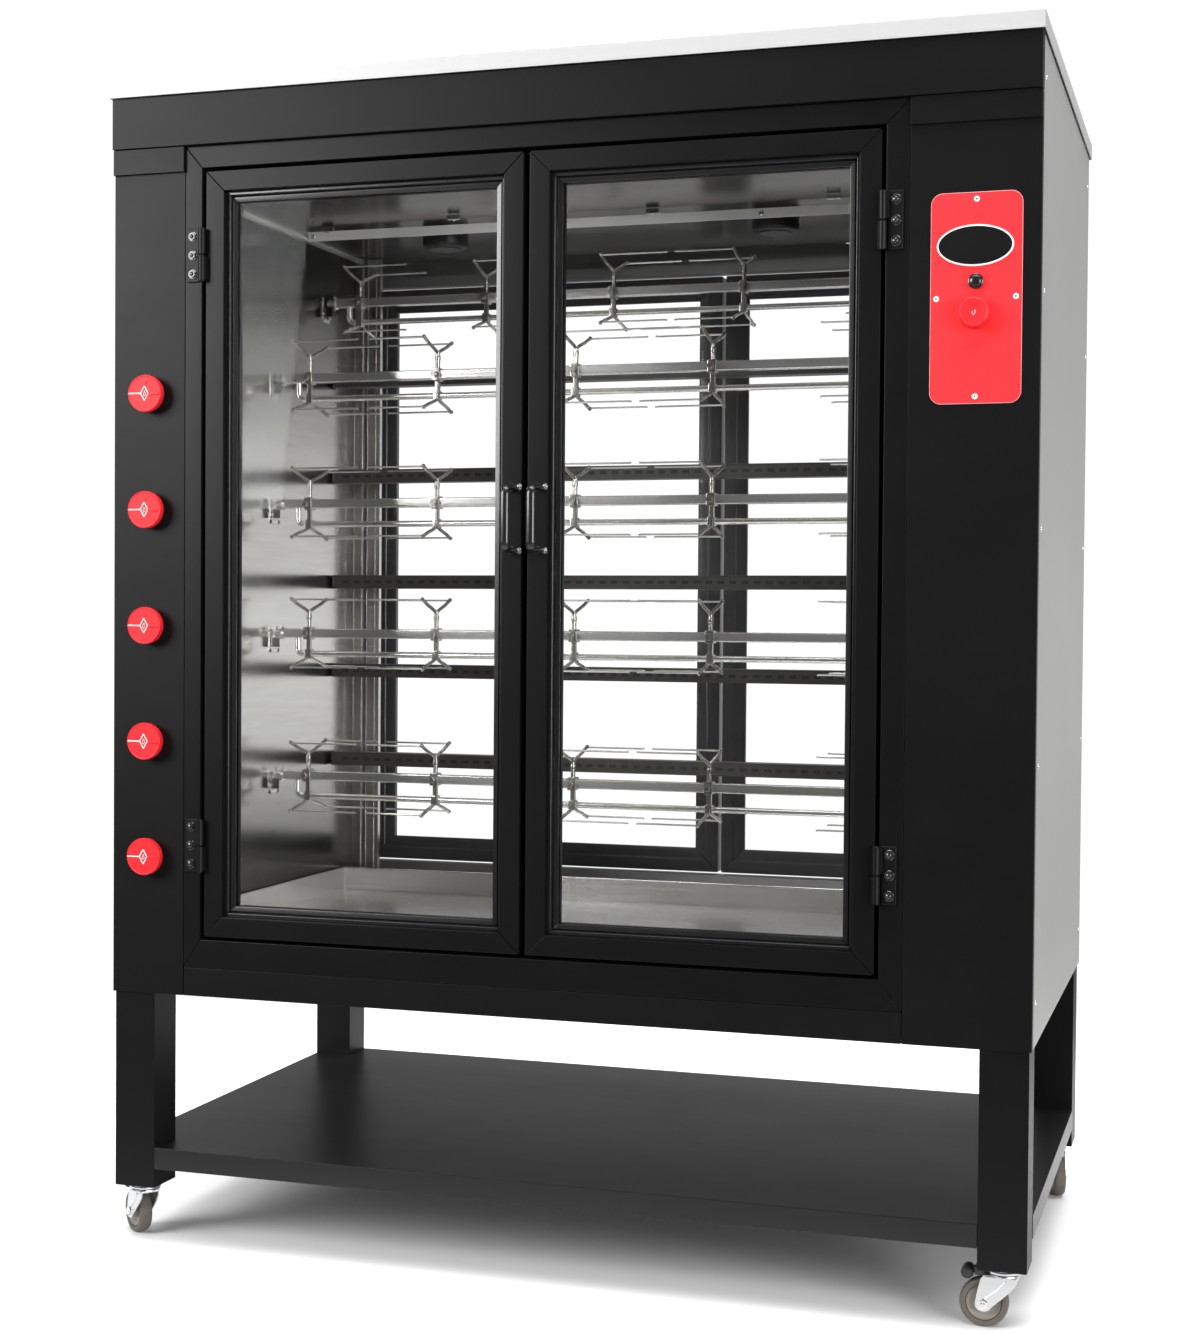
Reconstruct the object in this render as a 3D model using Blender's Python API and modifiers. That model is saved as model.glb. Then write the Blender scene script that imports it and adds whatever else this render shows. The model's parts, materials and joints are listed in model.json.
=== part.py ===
# Floor-standing gas rotisserie oven on a castered stand.
# Metres, +Z up, front towards -Y, origin on the floor under the middle of the oven.
import math

import bmesh
import bpy
from mathutils import Matrix, Vector

# Body
bodyWidth = 1.560
bodyDepth = 0.900
bodyBottom = 0.432
bodyTop = 1.9595
sheet = 0.003            # panel thickness
gap = 0.0005             # clearance between neighbouring pieces
frontY = -0.4375         # front face of the body
rearY = frontY + bodyDepth
halfWidth = bodyWidth / 2
foldDepth = 0.018        # how far a front panel folds back at its edges

# Top cover and header
coverHeight = 0.027
coverSide = 0.004
coverFront = 0.016
coverRear = 0.015
headerBottom = 1.874
headerProud = 0.010
railBottom = 1.834
railProud = 0.006

# Door surround and doors
surroundLeft = -0.645
surroundRight = 0.583
surroundBottom = 0.481
surroundDepth = 0.060
rebateDepth = 0.041
stopWidth = 0.022
mullionWidth = 0.040
doorMiddle = -0.0335
doorWidth = 0.568
doorMeetingGap = 0.010
doorSideGap = 0.007
doorBottom = 0.535
doorTop = 1.830
doorThickness = 0.036
doorMember = 0.034       # face width of a door frame member
doorLip = 0.018          # glazing lip inside the member
lipThickness = 0.012
glassThickness = 0.004
hingeRadius = 0.0065
hingeProud = 0.0075      # hinge axis in front of the door face
hingeHeight = 0.090
hingeCentres = (1.689, 0.690)
leafWidth = 0.024
boltHead = 0.0075
handleZ = 1.240
handleSpan = 0.101
handleProud = 0.040
handleRadius = 0.0062

# Rear doors
rearDoorLeft = -0.668
rearDoorMeet = 0.0795
rearDoorRight = 0.600
rearDoorBottom = 0.577
rearDoorTop = 1.762
rearDoorMember = 0.042
rearDoorLip = 0.010
rearDoorGap = 0.006
rearHingeCentres = (1.620, 0.720)
meetingHalf = 0.0035     # half the gap where the rear doors meet

# Cooking cavity
cavityLeft = -0.650
cavityRight = 0.590
cavityFloor = 0.530
cavityCeiling = 1.805
wallDepth = 0.745        # side walls end this far behind the front face
linerSheet = 0.002
trayRear = 0.668
trayRim = 0.578

# Spits
spitHeights = (0.787, 1.050, 1.289, 1.520, 1.692)
spitDepths = (0.352, 0.352, 0.352, 0.352, 0.577)
spitBar = 0.017
twinBar = 0.011
twinDrop = 0.038
journalRadius = 0.008
forkPlaces = ((-0.578, 1), (-0.325, -1), (-0.062, 1), (0.188, -1), (0.505, -1))
topForkPlaces = ((-0.578, 1), (-0.316, 1), (-0.062, 1), (0.188, -1), (0.505, -1))
forkRise = 0.063
forkSpread = 0.050
prongLength = 0.118
prongSize = 0.005
sprocketRadius = 0.042

# Burners and gas line
burnerHeights = (0.802, 0.976, 1.150, 1.357, 1.545)
burnerHeight = 0.026
burnerDepth = 0.038
burnerFront = 0.598
feedRadius = 0.008
knobX = -0.710
knobHeights = tuple(0.669 + 0.197 * i for i in range(5))
knobRadius = 0.0315

# Control plate
plateX = 0.684
plateZ = 1.5665
plateWidth = 0.136
plateHeight = 0.316
plateCorner = 0.017
buttonZ = 1.591
controlKnobZ = 1.542

# Stand and casters
legSize = 0.075
legInset = 0.0035
legBottom = 0.095
shelfTop = 0.165
shelfLip = 0.128
railSize = 0.030
wheelRadius = 0.0375
wheelWidth = 0.024
casterTrail = 0.030
forkThickness = 0.003

black = (0.018, 0.018, 0.020, 1.0)
steel = (0.55, 0.54, 0.52, 1.0)
red = (0.78, 0.035, 0.045, 1.0)
zinc = (0.62, 0.63, 0.65, 1.0)


def clearScene():
    for obj in list(bpy.data.objects):
        bpy.data.objects.remove(obj, do_unlink=True)


def makeCollection(name):
    collection = bpy.data.collections.new(name)
    bpy.context.scene.collection.children.link(collection)
    return collection


def makeMaterial(name, colour, roughness, metallic):
    material = bpy.data.materials.new(name)
    material.use_nodes = True
    shader = material.node_tree.nodes["Principled BSDF"]
    shader.inputs["Base Color"].default_value = colour
    shader.inputs["Roughness"].default_value = roughness
    shader.inputs["Metallic"].default_value = metallic
    return material


clearScene()
parts = makeCollection("rotisserie_oven")
cutters = makeCollection("cutters")


# ---- shapes -------------------------------------------------------------

def box(low, high):
    # a block between two corners, with its depths counted from the world origin
    def add(bm):
        low3, high3 = Vector(low), Vector(high)
        middle, size = (low3 + high3) / 2, high3 - low3
        matrix = Matrix.Translation(middle) @ Matrix.Diagonal((*size, 1.0))
        bmesh.ops.create_cube(bm, size=1.0, matrix=matrix)
    return add


def bodyBox(x0, x1, d0, d1, z0, z1):
    # the same, with depths counted back from the body's front face
    return box((x0, frontY + d0, z0), (x1, frontY + d1, z1))


def rod(start, end, radius, sides=16, endRadius=None):
    def add(bm):
        a, b = Vector(start), Vector(end)
        turn = (b - a).to_track_quat("Z", "Y").to_matrix().to_4x4()
        matrix = Matrix.Translation((a + b) / 2) @ turn
        tip = radius if endRadius is None else endRadius
        bmesh.ops.create_cone(bm, cap_ends=True, segments=sides, radius1=radius, radius2=tip,
                              depth=(b - a).length, matrix=matrix)
    return add


def bar(start, end, size):
    # a square bar between two points
    def add(bm):
        a, b = Vector(start), Vector(end)
        turn = (b - a).to_track_quat("Z", "Y").to_matrix().to_4x4()
        scale = Matrix.Diagonal((size, size, (b - a).length, 1.0))
        bmesh.ops.create_cube(bm, size=1.0, matrix=Matrix.Translation((a + b) / 2) @ turn @ scale)
    return add


def meshOf(name, shapes, origin):
    bm = bmesh.new()
    for shape in shapes:
        shape(bm)
    bmesh.ops.translate(bm, verts=bm.verts, vec=-Vector(origin))
    mesh = bpy.data.meshes.new(name)
    bm.to_mesh(mesh)
    bm.free()
    return mesh


def place(name, mesh, material, origin, collection=None):
    obj = bpy.data.objects.new(name, mesh)
    obj.location = origin
    (collection or parts).objects.link(obj)
    if material:
        mesh.materials.append(material)
    return obj


def makeTool(target, name, shapes):
    tool = place(name, meshOf(name, shapes, target.location), None, target.location, cutters)
    tool.hide_render = True
    tool.display_type = "WIRE"
    tool.parent = target.parent
    return tool


def addBoolean(target, shapes, operation, tool=None):
    if tool is None:
        tool = makeTool(target, f"{target.name}_{operation.lower()}_{len(target.modifiers)}", shapes)
    modifier = target.modifiers.new(operation.title(), "BOOLEAN")
    modifier.operation = operation
    modifier.solver = "EXACT"
    modifier.use_self = True
    modifier.object = tool


def join(target, *shapes):
    addBoolean(target, shapes, "UNION")


def cut(target, *shapes):
    addBoolean(target, shapes, "DIFFERENCE")


def solid(name, shape, material, origin=(0, 0, 0)):
    return place(name, meshOf(name, [shape], origin), material, origin)


def turned(name, profile, material, origin, direction, steps=24):
    # a profile of (radius, height) points, from the top of the axis down its outside
    mesh = bpy.data.meshes.new(name)
    points = [(r, 0.0, h) for r, h in profile]
    closed = profile[0][0] > 0
    edges = [(i, i + 1) for i in range(len(points) - 1)]
    if closed:
        edges.append((len(points) - 1, 0))
    mesh.from_pydata(points, edges, [])
    obj = place(name, mesh, material, origin)
    obj.rotation_euler = Vector(direction).to_track_quat("Z", "Y").to_euler()
    screw = obj.modifiers.new("Screw", "SCREW")
    screw.steps = steps
    screw.render_steps = steps
    screw.use_merge_vertices = True
    screw.merge_threshold = 0.00005
    screw.use_smooth_shade = True
    return obj


def outlinePlate(name, points, thickness, material, origin, rotation):
    # a flat plate cut to an outline of straight and rounded stretches
    curve = bpy.data.curves.new(name, "CURVE")
    curve.dimensions = "2D"
    curve.fill_mode = "BOTH"
    curve.extrude = thickness / 2
    spline = curve.splines.new("POLY")
    spline.points.add(len(points) - 1)
    for point, (x, y) in zip(spline.points, points):
        point.co = (x, y, 0, 1)
    spline.use_cyclic_u = True
    source = bpy.data.objects.new(name + "_outline", curve)
    source.location = origin
    source.rotation_euler = rotation
    parts.objects.link(source)
    return meshFromCurve(source, name, material)


def tube(name, points, radius, material, origin, roundness=2):
    curve = bpy.data.curves.new(name, "CURVE")
    curve.dimensions = "3D"
    curve.bevel_depth = radius
    curve.bevel_resolution = roundness
    curve.use_fill_caps = True
    spline = curve.splines.new("POLY")
    spline.points.add(len(points) - 1)
    for point, place3 in zip(spline.points, points):
        point.co = (*(Vector(place3) - Vector(origin)), 1)
    source = bpy.data.objects.new(name + "_path", curve)
    source.location = origin
    parts.objects.link(source)
    return meshFromCurve(source, name, material)


def meshFromCurve(source, name, material):
    bpy.context.view_layer.update()
    evaluated = source.evaluated_get(bpy.context.evaluated_depsgraph_get())
    mesh = bpy.data.meshes.new_from_object(evaluated)
    bm = bmesh.new()
    bm.from_mesh(mesh)
    bmesh.ops.remove_doubles(bm, verts=bm.verts, dist=0.00002)
    bm.to_mesh(mesh)
    bm.free()
    obj = bpy.data.objects.new(name, mesh)
    obj.matrix_world = source.matrix_world
    parts.objects.link(obj)
    mesh.materials.clear()
    if material:
        mesh.materials.append(material)
    bpy.data.objects.remove(source)
    return obj


def roundedOutline(width, height, radius, steps=6):
    points = []
    for i, (sx, sy) in enumerate(((1, 1), (-1, 1), (-1, -1), (1, -1))):
        cx, cy = sx * (width / 2 - radius), sy * (height / 2 - radius)
        for step in range(steps + 1):
            angle = math.radians(90 * (i + step / steps))
            points.append((cx + radius * math.cos(angle), cy + radius * math.sin(angle)))
    return points


# ---- stand --------------------------------------------------------------

def legBoxes():
    x0, x1 = halfWidth - legInset - legSize, halfWidth - legInset
    d0, d1 = legInset, legInset + legSize
    top = bodyBottom + 0.030
    for side in (-1, 1):
        for front in (True, False):
            a, b = (d0, d1) if front else (bodyDepth - d1, bodyDepth - d0)
            yield bodyBox(min(side * x0, side * x1), max(side * x0, side * x1), a, b, legBottom, top)


def makeStand():
    material = makeMaterial("stand_black", black, 0.45, 0.0)
    inner = halfWidth - legInset - legSize + 0.01
    edge = 0.007
    deep = bodyDepth - legInset - legSize + 0.01
    legs = list(legBoxes())
    stand = solid("stand_frame", legs[0], material)
    rails = []
    levels = ((shelfLip + 0.0005, shelfTop - sheet - gap, edge),
              (bodyBottom + 0.005, bodyBottom + 0.029, foldDepth + 0.002))
    for z0, z1, inset in levels:
        for d in (inset, bodyDepth - inset - railSize):
            rails.append(bodyBox(-inner, inner, d, d + railSize, z0, z1))
        for side in (-1, 1):
            a, b = halfWidth - edge - railSize, halfWidth - edge
            x0, x1 = sorted((side * a, side * b))
            rails.append(bodyBox(x0, x1, bodyDepth - deep, deep, z0, z1))
    join(stand, *legs[1:], *rails)
    return stand


def makeShelf():
    material = makeMaterial("shelf_black", black, 0.5, 0.0)
    x, d0, d1 = halfWidth - 0.0025, 0.0025, bodyDepth - 0.0025
    shelf = solid("lower_shelf", bodyBox(-x, x, d0, d1, shelfLip, shelfTop), material)
    lip = 0.0025
    under = bodyBox(-x + lip, x - lip, d0 + lip, d1 - lip, shelfLip - 0.01, shelfTop - sheet)
    cut(shelf, under)
    reach = legInset + legSize + gap
    notches = []
    for side in (-1, 1):
        x0, x1 = sorted((side * (halfWidth - reach), side * (halfWidth + 0.01)))
        for a, b in ((-0.01, reach), (bodyDepth - reach, bodyDepth + 0.01)):
            notches.append(bodyBox(x0, x1, a, b, shelfLip - 0.02, shelfTop + 0.02))
    cut(shelf, *notches)


# ---- casters ------------------------------------------------------------

# side, front or rear, and how far each caster has swivelled
casterSpots = {
    "front_left": (-1, True, -38),
    "front_right": (1, True, 0),
    "rear_left": (-1, False, 165),
    "rear_right": (1, False, 108),
}
casterCrown = 0.0835
casterOuter = wheelWidth / 2 + 0.002 + forkThickness
pedalReach = 0.066


def makeSwivel(spot, side, front, degrees):
    x = side * (halfWidth - legInset - legSize / 2)
    depth = legInset + legSize / 2
    swivel = bpy.data.objects.new(f"swivel_{spot}", None)
    swivel.location = (x, frontY + (depth if front else bodyDepth - depth), 0)
    swivel.rotation_euler = (0, 0, math.radians(degrees))
    parts.objects.link(swivel)
    return swivel


def makeCaster(spot, side, front, degrees):
    # the fork, wheel and pedal are laid out round their swivel, trailing towards -X
    swivel = makeSwivel(spot, side, front, degrees)
    axle = Vector((-casterTrail, 0, wheelRadius))
    zincPlate = makeMaterial(f"zinc_{spot}", zinc, 0.35, 0.9)
    fork = solid(f"caster_fork_{spot}", rod((0, 0, casterCrown - 0.004), (0, 0, legBottom - gap), 0.027, 16), zincPlate)
    fork.parent = swivel
    join(fork, *forkCheeks(axle))
    rubber = makeMaterial(f"wheel_{spot}", (0.17, 0.15, 0.13, 1), 0.6, 0.0)
    half, chamfer, bore = wheelWidth / 2, 0.003, 0.0055
    tread = [(wheelRadius, half - chamfer), (wheelRadius, chamfer - half), (wheelRadius - chamfer, -half),
             (bore, -half), (bore, half), (wheelRadius - chamfer, half)]
    turned(f"caster_wheel_{spot}", tread, rubber, axle, (0, 1, 0), 24).parent = swivel
    if front:
        makeBrakePedal(spot, swivel)


def forkCheeks(axle):
    outer, inner = casterOuter, casterOuter - forkThickness
    for side in (-1, 1):
        y0, y1 = sorted((side * inner, side * outer))
        yield box((axle.x - 0.010, y0, axle.z - 0.010), (axle.x + 0.014, y1, 0.064))
        yield box((-0.024, y0, 0.052), (0.018, y1, casterCrown - 0.001))
        yield rod(axle + Vector((0, y0, 0)), axle + Vector((0, side * (outer + 0.004), 0)), 0.007, 8)
    yield box((-0.022, -outer, casterCrown - 0.006), (0.016, outer, casterCrown - 0.001))
    reach = Vector((0, outer - 0.001, 0))
    yield rod(axle - reach, axle + reach, 0.0045, 12)


def makeBrakePedal(spot, swivel):
    material = makeMaterial(f"pedal_{spot}", (0.02, 0.02, 0.02, 1), 0.5, 0.0)
    pivot = Vector((-0.034, 0, 0.0865))
    pedal = solid(f"brake_pedal_{spot}", box((pivot.x - 0.006, -0.015, 0.0795), (pivot.x + 0.006, 0.015, 0.0925)),
                  material, pivot)
    pedal.parent = swivel
    join(pedal, bar((pivot.x - 0.004, 0, 0.0860), (-pedalReach, 0, 0.0815), 0.012))


# ---- body panels --------------------------------------------------------

def foldedPanel(name, x0, x1, z0, z1, front, depth, material):
    # a sheet folded back at its four edges, open behind
    panel = solid(name, bodyBox(x0, x1, front, depth, z0, z1), material)
    cut(panel, bodyBox(x0 + sheet, x1 - sheet, front + sheet, depth + 0.05, z0 + sheet, z1 - sheet))
    return panel


def legNotch(side):
    # room for a stand leg through the bottom fold
    inner = halfWidth - legInset - legSize - 0.001
    x0, x1 = sorted((side * inner, side * (halfWidth - sheet)))
    return bodyBox(x0, x1, sheet, foldDepth + 0.01, bodyBottom - 0.01, bodyBottom + 0.01)


def makeFrontPanels():
    panelBlack = makeMaterial("panel_black", black, 0.4, 0.0)
    left = foldedPanel("left_front_panel", -halfWidth, surroundLeft - gap, bodyBottom, railBottom,
                       0.0, foldDepth, panelBlack)
    join(left, bodyBox(-halfWidth, surroundLeft - gap, -railProud, foldDepth,
                       railBottom - 0.003, headerBottom - gap))
    holes = [rod((knobX, frontY - 0.02, z), (knobX, frontY + 0.02, z), 0.008, 12) for z in knobHeights]
    cut(left, *holes, legNotch(-1))
    rightBlack = makeMaterial("panel_black_right", black, 0.4, 0.0)
    right = foldedPanel("right_front_panel", surroundRight + gap, halfWidth, bodyBottom, railBottom,
                        0.0, foldDepth, rightBlack)
    join(right, bodyBox(surroundRight + gap, halfWidth, -railProud, foldDepth,
                        railBottom - 0.003, headerBottom - gap))
    cut(right, rod((plateX, frontY - 0.02, buttonZ), (plateX, frontY + 0.02, buttonZ), 0.0105, 16),
        rod((plateX, frontY - 0.02, controlKnobZ), (plateX, frontY + 0.02, controlKnobZ), 0.008, 12),
        legNotch(1))
    foldedPanel("lower_front_strip", surroundLeft + gap, surroundRight - gap, bodyBottom,
                surroundBottom - gap, 0.0, foldDepth, makeMaterial("strip_black", black, 0.4, 0.0))
    foldedPanel("header_fascia", -halfWidth, halfWidth, headerBottom, bodyTop, -headerProud, foldDepth,
                makeMaterial("header_black", black, 0.4, 0.0))


def makeSides():
    for name, side in (("left_side_panel", -1), ("right_side_panel", 1)):
        material = makeMaterial(name + "_steel", steel, 0.35, 1.0)
        x0, x1 = sorted((side * (halfWidth - sheet), side * halfWidth))
        solid(name, bodyBox(x0, x1, foldDepth + gap, bodyDepth - gap, bodyBottom, bodyTop), material)


def makeRearPanel():
    material = makeMaterial("rear_black", black, 0.4, 0.0)
    x = halfWidth - sheet - gap
    back = bodyDepth - legInset + gap
    panel = solid("rear_panel", bodyBox(-x, x, back, bodyDepth - gap, bodyBottom, bodyTop), material)
    rim, edge = 0.026, rearDoorGap
    join(panel, bodyBox(rearDoorLeft - rim, rearDoorRight + rim, bodyDepth - 0.038, back + 0.001,
                        rearDoorBottom - rim, rearDoorTop + rim))
    cut(panel, bodyBox(rearDoorLeft - edge, rearDoorRight + edge, bodyDepth - 0.2, bodyDepth + 0.1,
                       rearDoorBottom - edge, rearDoorTop + edge))
    for side in (-1, 1):
        join(panel, *fixedLeaves(rearHingeX(side), side, rearY - gap, 1, rearHingeCentres))


def makeTopAndBase():
    brushed = makeMaterial("cover_steel", (0.80, 0.80, 0.79, 1), 0.3, 1.0)
    top = bodyTop + gap
    x, d0, d1 = halfWidth + coverSide, -coverFront, bodyDepth + coverRear
    cover = solid("top_cover", bodyBox(-x, x, d0, d1, top, top + coverHeight), brushed)
    cut(cover, bodyBox(-x + 0.002, x - 0.002, d0 + 0.002, d1 - 0.002, top - 0.01, top + coverHeight - 0.002))
    dark = makeMaterial("base_black", black, 0.5, 0.0)
    x = halfWidth - sheet - gap
    z = bodyBottom + 0.0305
    base = solid("base_pan", bodyBox(-x, x, foldDepth + gap, bodyDepth - 0.042, z, z + 0.0175), dark)
    cut(base, bodyBox(-x + sheet, x - sheet, foldDepth + gap + sheet, bodyDepth - 0.042 - sheet, z + sheet, z + 0.05))


# ---- door surround ------------------------------------------------------

def doorEdges(side):
    # inner and outer edge of a front door, side -1 for left and 1 for right
    inner = doorMiddle + side * doorMeetingGap / 2
    return inner, inner + side * doorWidth


def hingeX(side):
    return doorEdges(side)[1] + side * doorSideGap / 2


def makeSurround():
    material = makeMaterial("surround_black", black, 0.38, 0.0)
    surround = solid("front_surround", bodyBox(surroundLeft, surroundRight, 0.0, surroundDepth,
                     surroundBottom, headerBottom - gap), material)
    left, right = doorEdges(-1)[1] - doorSideGap, doorEdges(1)[1] + doorSideGap
    bottom, top = doorBottom - 0.006, doorTop + 0.006
    rebate = bodyBox(left, right, -0.01, rebateDepth, bottom, top)
    half = mullionWidth / 2
    bays = [bodyBox(left + stopWidth, doorMiddle - half, 0.02, 0.1, bottom + stopWidth, top - stopWidth),
            bodyBox(doorMiddle + half, right - stopWidth, 0.02, 0.1, bottom + stopWidth, top - stopWidth)]
    cut(surround, rebate)
    cut(surround, *bays)
    for side in (-1, 1):
        join(surround, *fixedLeaves(hingeX(side), side, frontY, -1, hingeCentres))


def fixedLeaves(axis, side, face, out, centres):
    # leaf, upper knuckle and three bolt heads of each hinge; out is the way the face looks along Y
    clear, end = hingeRadius + 0.001, hingeRadius + leafWidth
    y0, y1 = sorted((face - out * gap, face + out * 0.0035))
    y = face + out * hingeProud
    for z in centres:
        low, high = z - hingeHeight / 2, z + hingeHeight / 2
        x0, x1 = sorted((axis + side * clear, axis + side * end))
        yield box((x0, y0, low), (x1, y1, high))
        x0, x1 = sorted((axis, axis + side * end))
        yield box((x0, y0, z + 0.0004), (x1, y1, high))
        yield rod((axis, y, z + 0.0004), (axis, y, high), hingeRadius, 12)
        for i in (-1, 0, 1):
            bolt = Vector((axis + side * 0.0195, face + out * 0.003, z + i * 0.0315))
            yield rod(bolt, bolt + Vector((0, out * 0.0055, 0)), boltHead, 6)


def doorKnuckles(axis, edge, face, out, centres):
    # lower knuckle of each hinge, with its web into the door's edge
    y = face + out * hingeProud
    for z in centres:
        low, high = z - hingeHeight / 2, z - 0.0004
        yield rod((axis, y, low), (axis, y, high), hingeRadius, 12)
        x0, x1 = sorted((axis, edge))
        y0, y1 = sorted((face + out * (hingeProud + 0.002), face - out * 0.012))
        yield box((x0, y0, low + 0.001), (x1, y1, high - 0.001))


# ---- doors --------------------------------------------------------------

def glazedFrame(name, x0, x1, z0, z1, front, thickness, member, lip, material, origin, lipAtBack):
    frame = solid(name, bodyBox(x0, x1, front, front + thickness, z0, z1), material, origin)
    wide = bodyBox(x0 + member, x1 - member, front - 0.05 if lipAtBack else front + lipThickness,
                   front + thickness - lipThickness if lipAtBack else front + thickness + 0.05,
                   z0 + member, z1 - member)
    clear = member + lip
    cut(frame, wide)
    cut(frame, bodyBox(x0 + clear, x1 - clear, front - 0.1, front + thickness + 0.1, z0 + clear, z1 - clear))
    return frame


def paneOf(name, x0, x1, z0, z1, front, thickness, origin, material):
    return solid(name, bodyBox(x0, x1, front, front + thickness, z0, z1), material, origin)


def makeFrontDoor(word, side):
    inner, outer = doorEdges(side)
    x0, x1 = sorted((inner, outer))
    origin = Vector((hingeX(side), frontY - hingeProud, 0))
    material = makeMaterial(f"door_black_{word}", black, 0.35, 0.0)
    frame = glazedFrame(f"door_{word}", x0, x1, doorBottom, doorTop, 0.0, doorThickness, doorMember,
                        doorLip, material, origin, True)
    join(frame, *doorKnuckles(origin.x, outer - side * 0.004, frontY, -1, hingeCentres))
    seat = doorMember + 0.004
    glass = makeMaterial(f"glass_{word}", (0.92, 0.95, 0.94, 0.2), 0.03, 0.0)
    front = doorThickness - lipThickness - glassThickness - gap
    paneOf(f"door_glass_{word}", x0 + seat, x1 - seat, doorBottom + seat, doorTop - seat,
           front, glassThickness, origin, glass)
    makeHandle(word, (inner + side * doorMember / 2))


def makeHandle(word, x):
    material = makeMaterial(f"handle_black_{word}", (0.01, 0.01, 0.01, 1), 0.3, 0.0)
    y = frontY - handleProud + handleRadius
    low, high = handleZ - handleSpan / 2, handleZ + handleSpan / 2
    bend = 0.012
    start = frontY - gap
    points = [(x, start, high), (x, y + bend, high)]
    points += [(x, y + bend - bend * math.sin(a), high - bend + bend * math.cos(a)) for a in bendAngles()]
    points += [(x, y + bend - bend * math.cos(a), low + bend - bend * math.sin(a)) for a in bendAngles()]
    points += [(x, start, low)]
    tube(f"handle_{word}", points, handleRadius, material, (x, frontY, handleZ))


def bendAngles():
    return [math.radians(a) for a in (22.5, 45, 67.5, 90)]


def makeRearDoor(word, side):
    # side is -1 for the door whose hinge is towards -X
    inner = rearDoorMeet + side * meetingHalf
    outer = rearDoorLeft if side < 0 else rearDoorRight
    x0, x1 = sorted((inner, outer))
    back = rearY - 0.002
    origin = Vector((rearHingeX(side), rearY + hingeProud, 0))
    material = makeMaterial(f"rear_door_black_{word}", black, 0.35, 0.0)
    front = bodyDepth - 0.036
    frame = glazedFrame(f"rear_door_{word}", x0, x1, rearDoorBottom, rearDoorTop, front, 0.034,
                        rearDoorMember, rearDoorLip, material, origin, False)
    pullX = inner + side * rearDoorMember / 2
    pull = box((pullX - 0.006, back - 0.002, handleZ - 0.050), (pullX + 0.006, rearY + 0.013, handleZ + 0.050))
    join(frame, *doorKnuckles(origin.x, outer - side * 0.004, rearY, 1, rearHingeCentres), pull)
    seat = rearDoorMember + 0.003
    glass = makeMaterial(f"rear_glass_{word}", (0.92, 0.95, 0.94, 0.2), 0.03, 0.0)
    paneOf(f"rear_glass_{word}", x0 + seat, x1 - seat, rearDoorBottom + seat, rearDoorTop - seat,
           front + lipThickness + gap, glassThickness, origin, glass)


def rearHingeX(side):
    return (rearDoorLeft if side < 0 else rearDoorRight) + side * rearDoorGap / 2


# ---- cavity -------------------------------------------------------------

def makeCavityWalls():
    for name, x, side in (("left_cavity_wall", cavityLeft, -1), ("right_cavity_wall", cavityRight, 1)):
        material = makeMaterial(name + "_steel", steel, 0.2, 1.0)
        x0, x1 = sorted((x, x + side * linerSheet))
        wall = solid(name, bodyBox(x0, x1, surroundDepth + 0.002, wallDepth, cavityFloor, cavityCeiling), material)
        a, b = sorted((x - side * 0.018, x + side * 0.001))
        ledge = bodyBox(a, b, 0.075, trayRear, cavityFloor, cavityFloor + 0.002)
        rests = []
        if side < 0:
            for z, d in zip(spitHeights, spitDepths):
                rests.append(bodyBox(a, b, d - 0.012, d + 0.012, z - 0.026, z - journalRadius - gap))
        join(wall, ledge, *rests)
        holes = []
        if side > 0:
            for z, d in zip(spitHeights, spitDepths):
                holes.append(rod((x - 0.02, frontY + d, z), (x + 0.02, frontY + d, z), journalRadius + 0.003, 16))
        else:
            d = burnerFront + burnerDepth / 2
            for z in burnerHeights:
                holes.append(rod((x - 0.02, frontY + d, z), (x + 0.02, frontY + d, z), feedRadius + 0.002, 12))
        cut(wall, *holes)
    ceilingSteel = makeMaterial("ceiling_steel", steel, 0.2, 1.0)
    solid("cavity_ceiling", bodyBox(cavityLeft - 0.01, cavityRight + 0.01, surroundDepth + 0.002, 0.800,
          cavityCeiling + gap, cavityCeiling + gap + linerSheet), ceilingSteel)


def makeTray():
    material = makeMaterial("tray_steel", steel, 0.25, 1.0)
    x0, x1, z0 = cavityLeft + 0.004, cavityRight - 0.004, cavityFloor + 0.003
    tray = solid("drip_tray", bodyBox(x0, x1, 0.075, trayRear, z0, trayRim), material)
    wall = 0.002
    cut(tray, bodyBox(x0 + wall, x1 - wall, 0.075 + wall, trayRear - wall, z0 + wall, trayRim + 0.05))


def makeRailAndLamps():
    rail = makeMaterial("rail_steel", (0.75, 0.74, 0.72, 1), 0.3, 1.0)
    solid("top_rail", bodyBox(-0.606, cavityRight - 0.001, 0.400, 0.404, 1.782, 1.799), rail)
    for word, x in (("left", -0.372), ("right", 0.262)):
        dark = makeMaterial(f"lamp_{word}_black", (0.03, 0.03, 0.03, 1), 0.5, 0.0)
        r = 0.043
        profile = [(0, 0.028), (r, 0.028), (r, 0.008), (r * 0.94, 0.003), (r * 0.72, -0.002), (0, -0.004)]
        turned(f"lamp_{word}", profile, dark, (x, frontY + 0.505, cavityCeiling - 0.029), (0, 0, 1), 20)


def makeBurners():
    for i, z in enumerate(burnerHeights):
        material = makeMaterial(f"burner_iron_{i + 1}", (0.06, 0.06, 0.065, 1), 0.55, 0.6)
        burner = solid(f"burner_{i + 1}", bodyBox(cavityLeft + 0.004, cavityRight - 0.002, burnerFront,
                       burnerFront + burnerDepth, z - burnerHeight / 2, z + burnerHeight / 2), material)
        y = frontY + burnerFront + burnerDepth / 2
        join(burner, rod((cavityLeft - 0.046, y, z), (cavityLeft + 0.02, y, z), feedRadius, 12))


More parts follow.
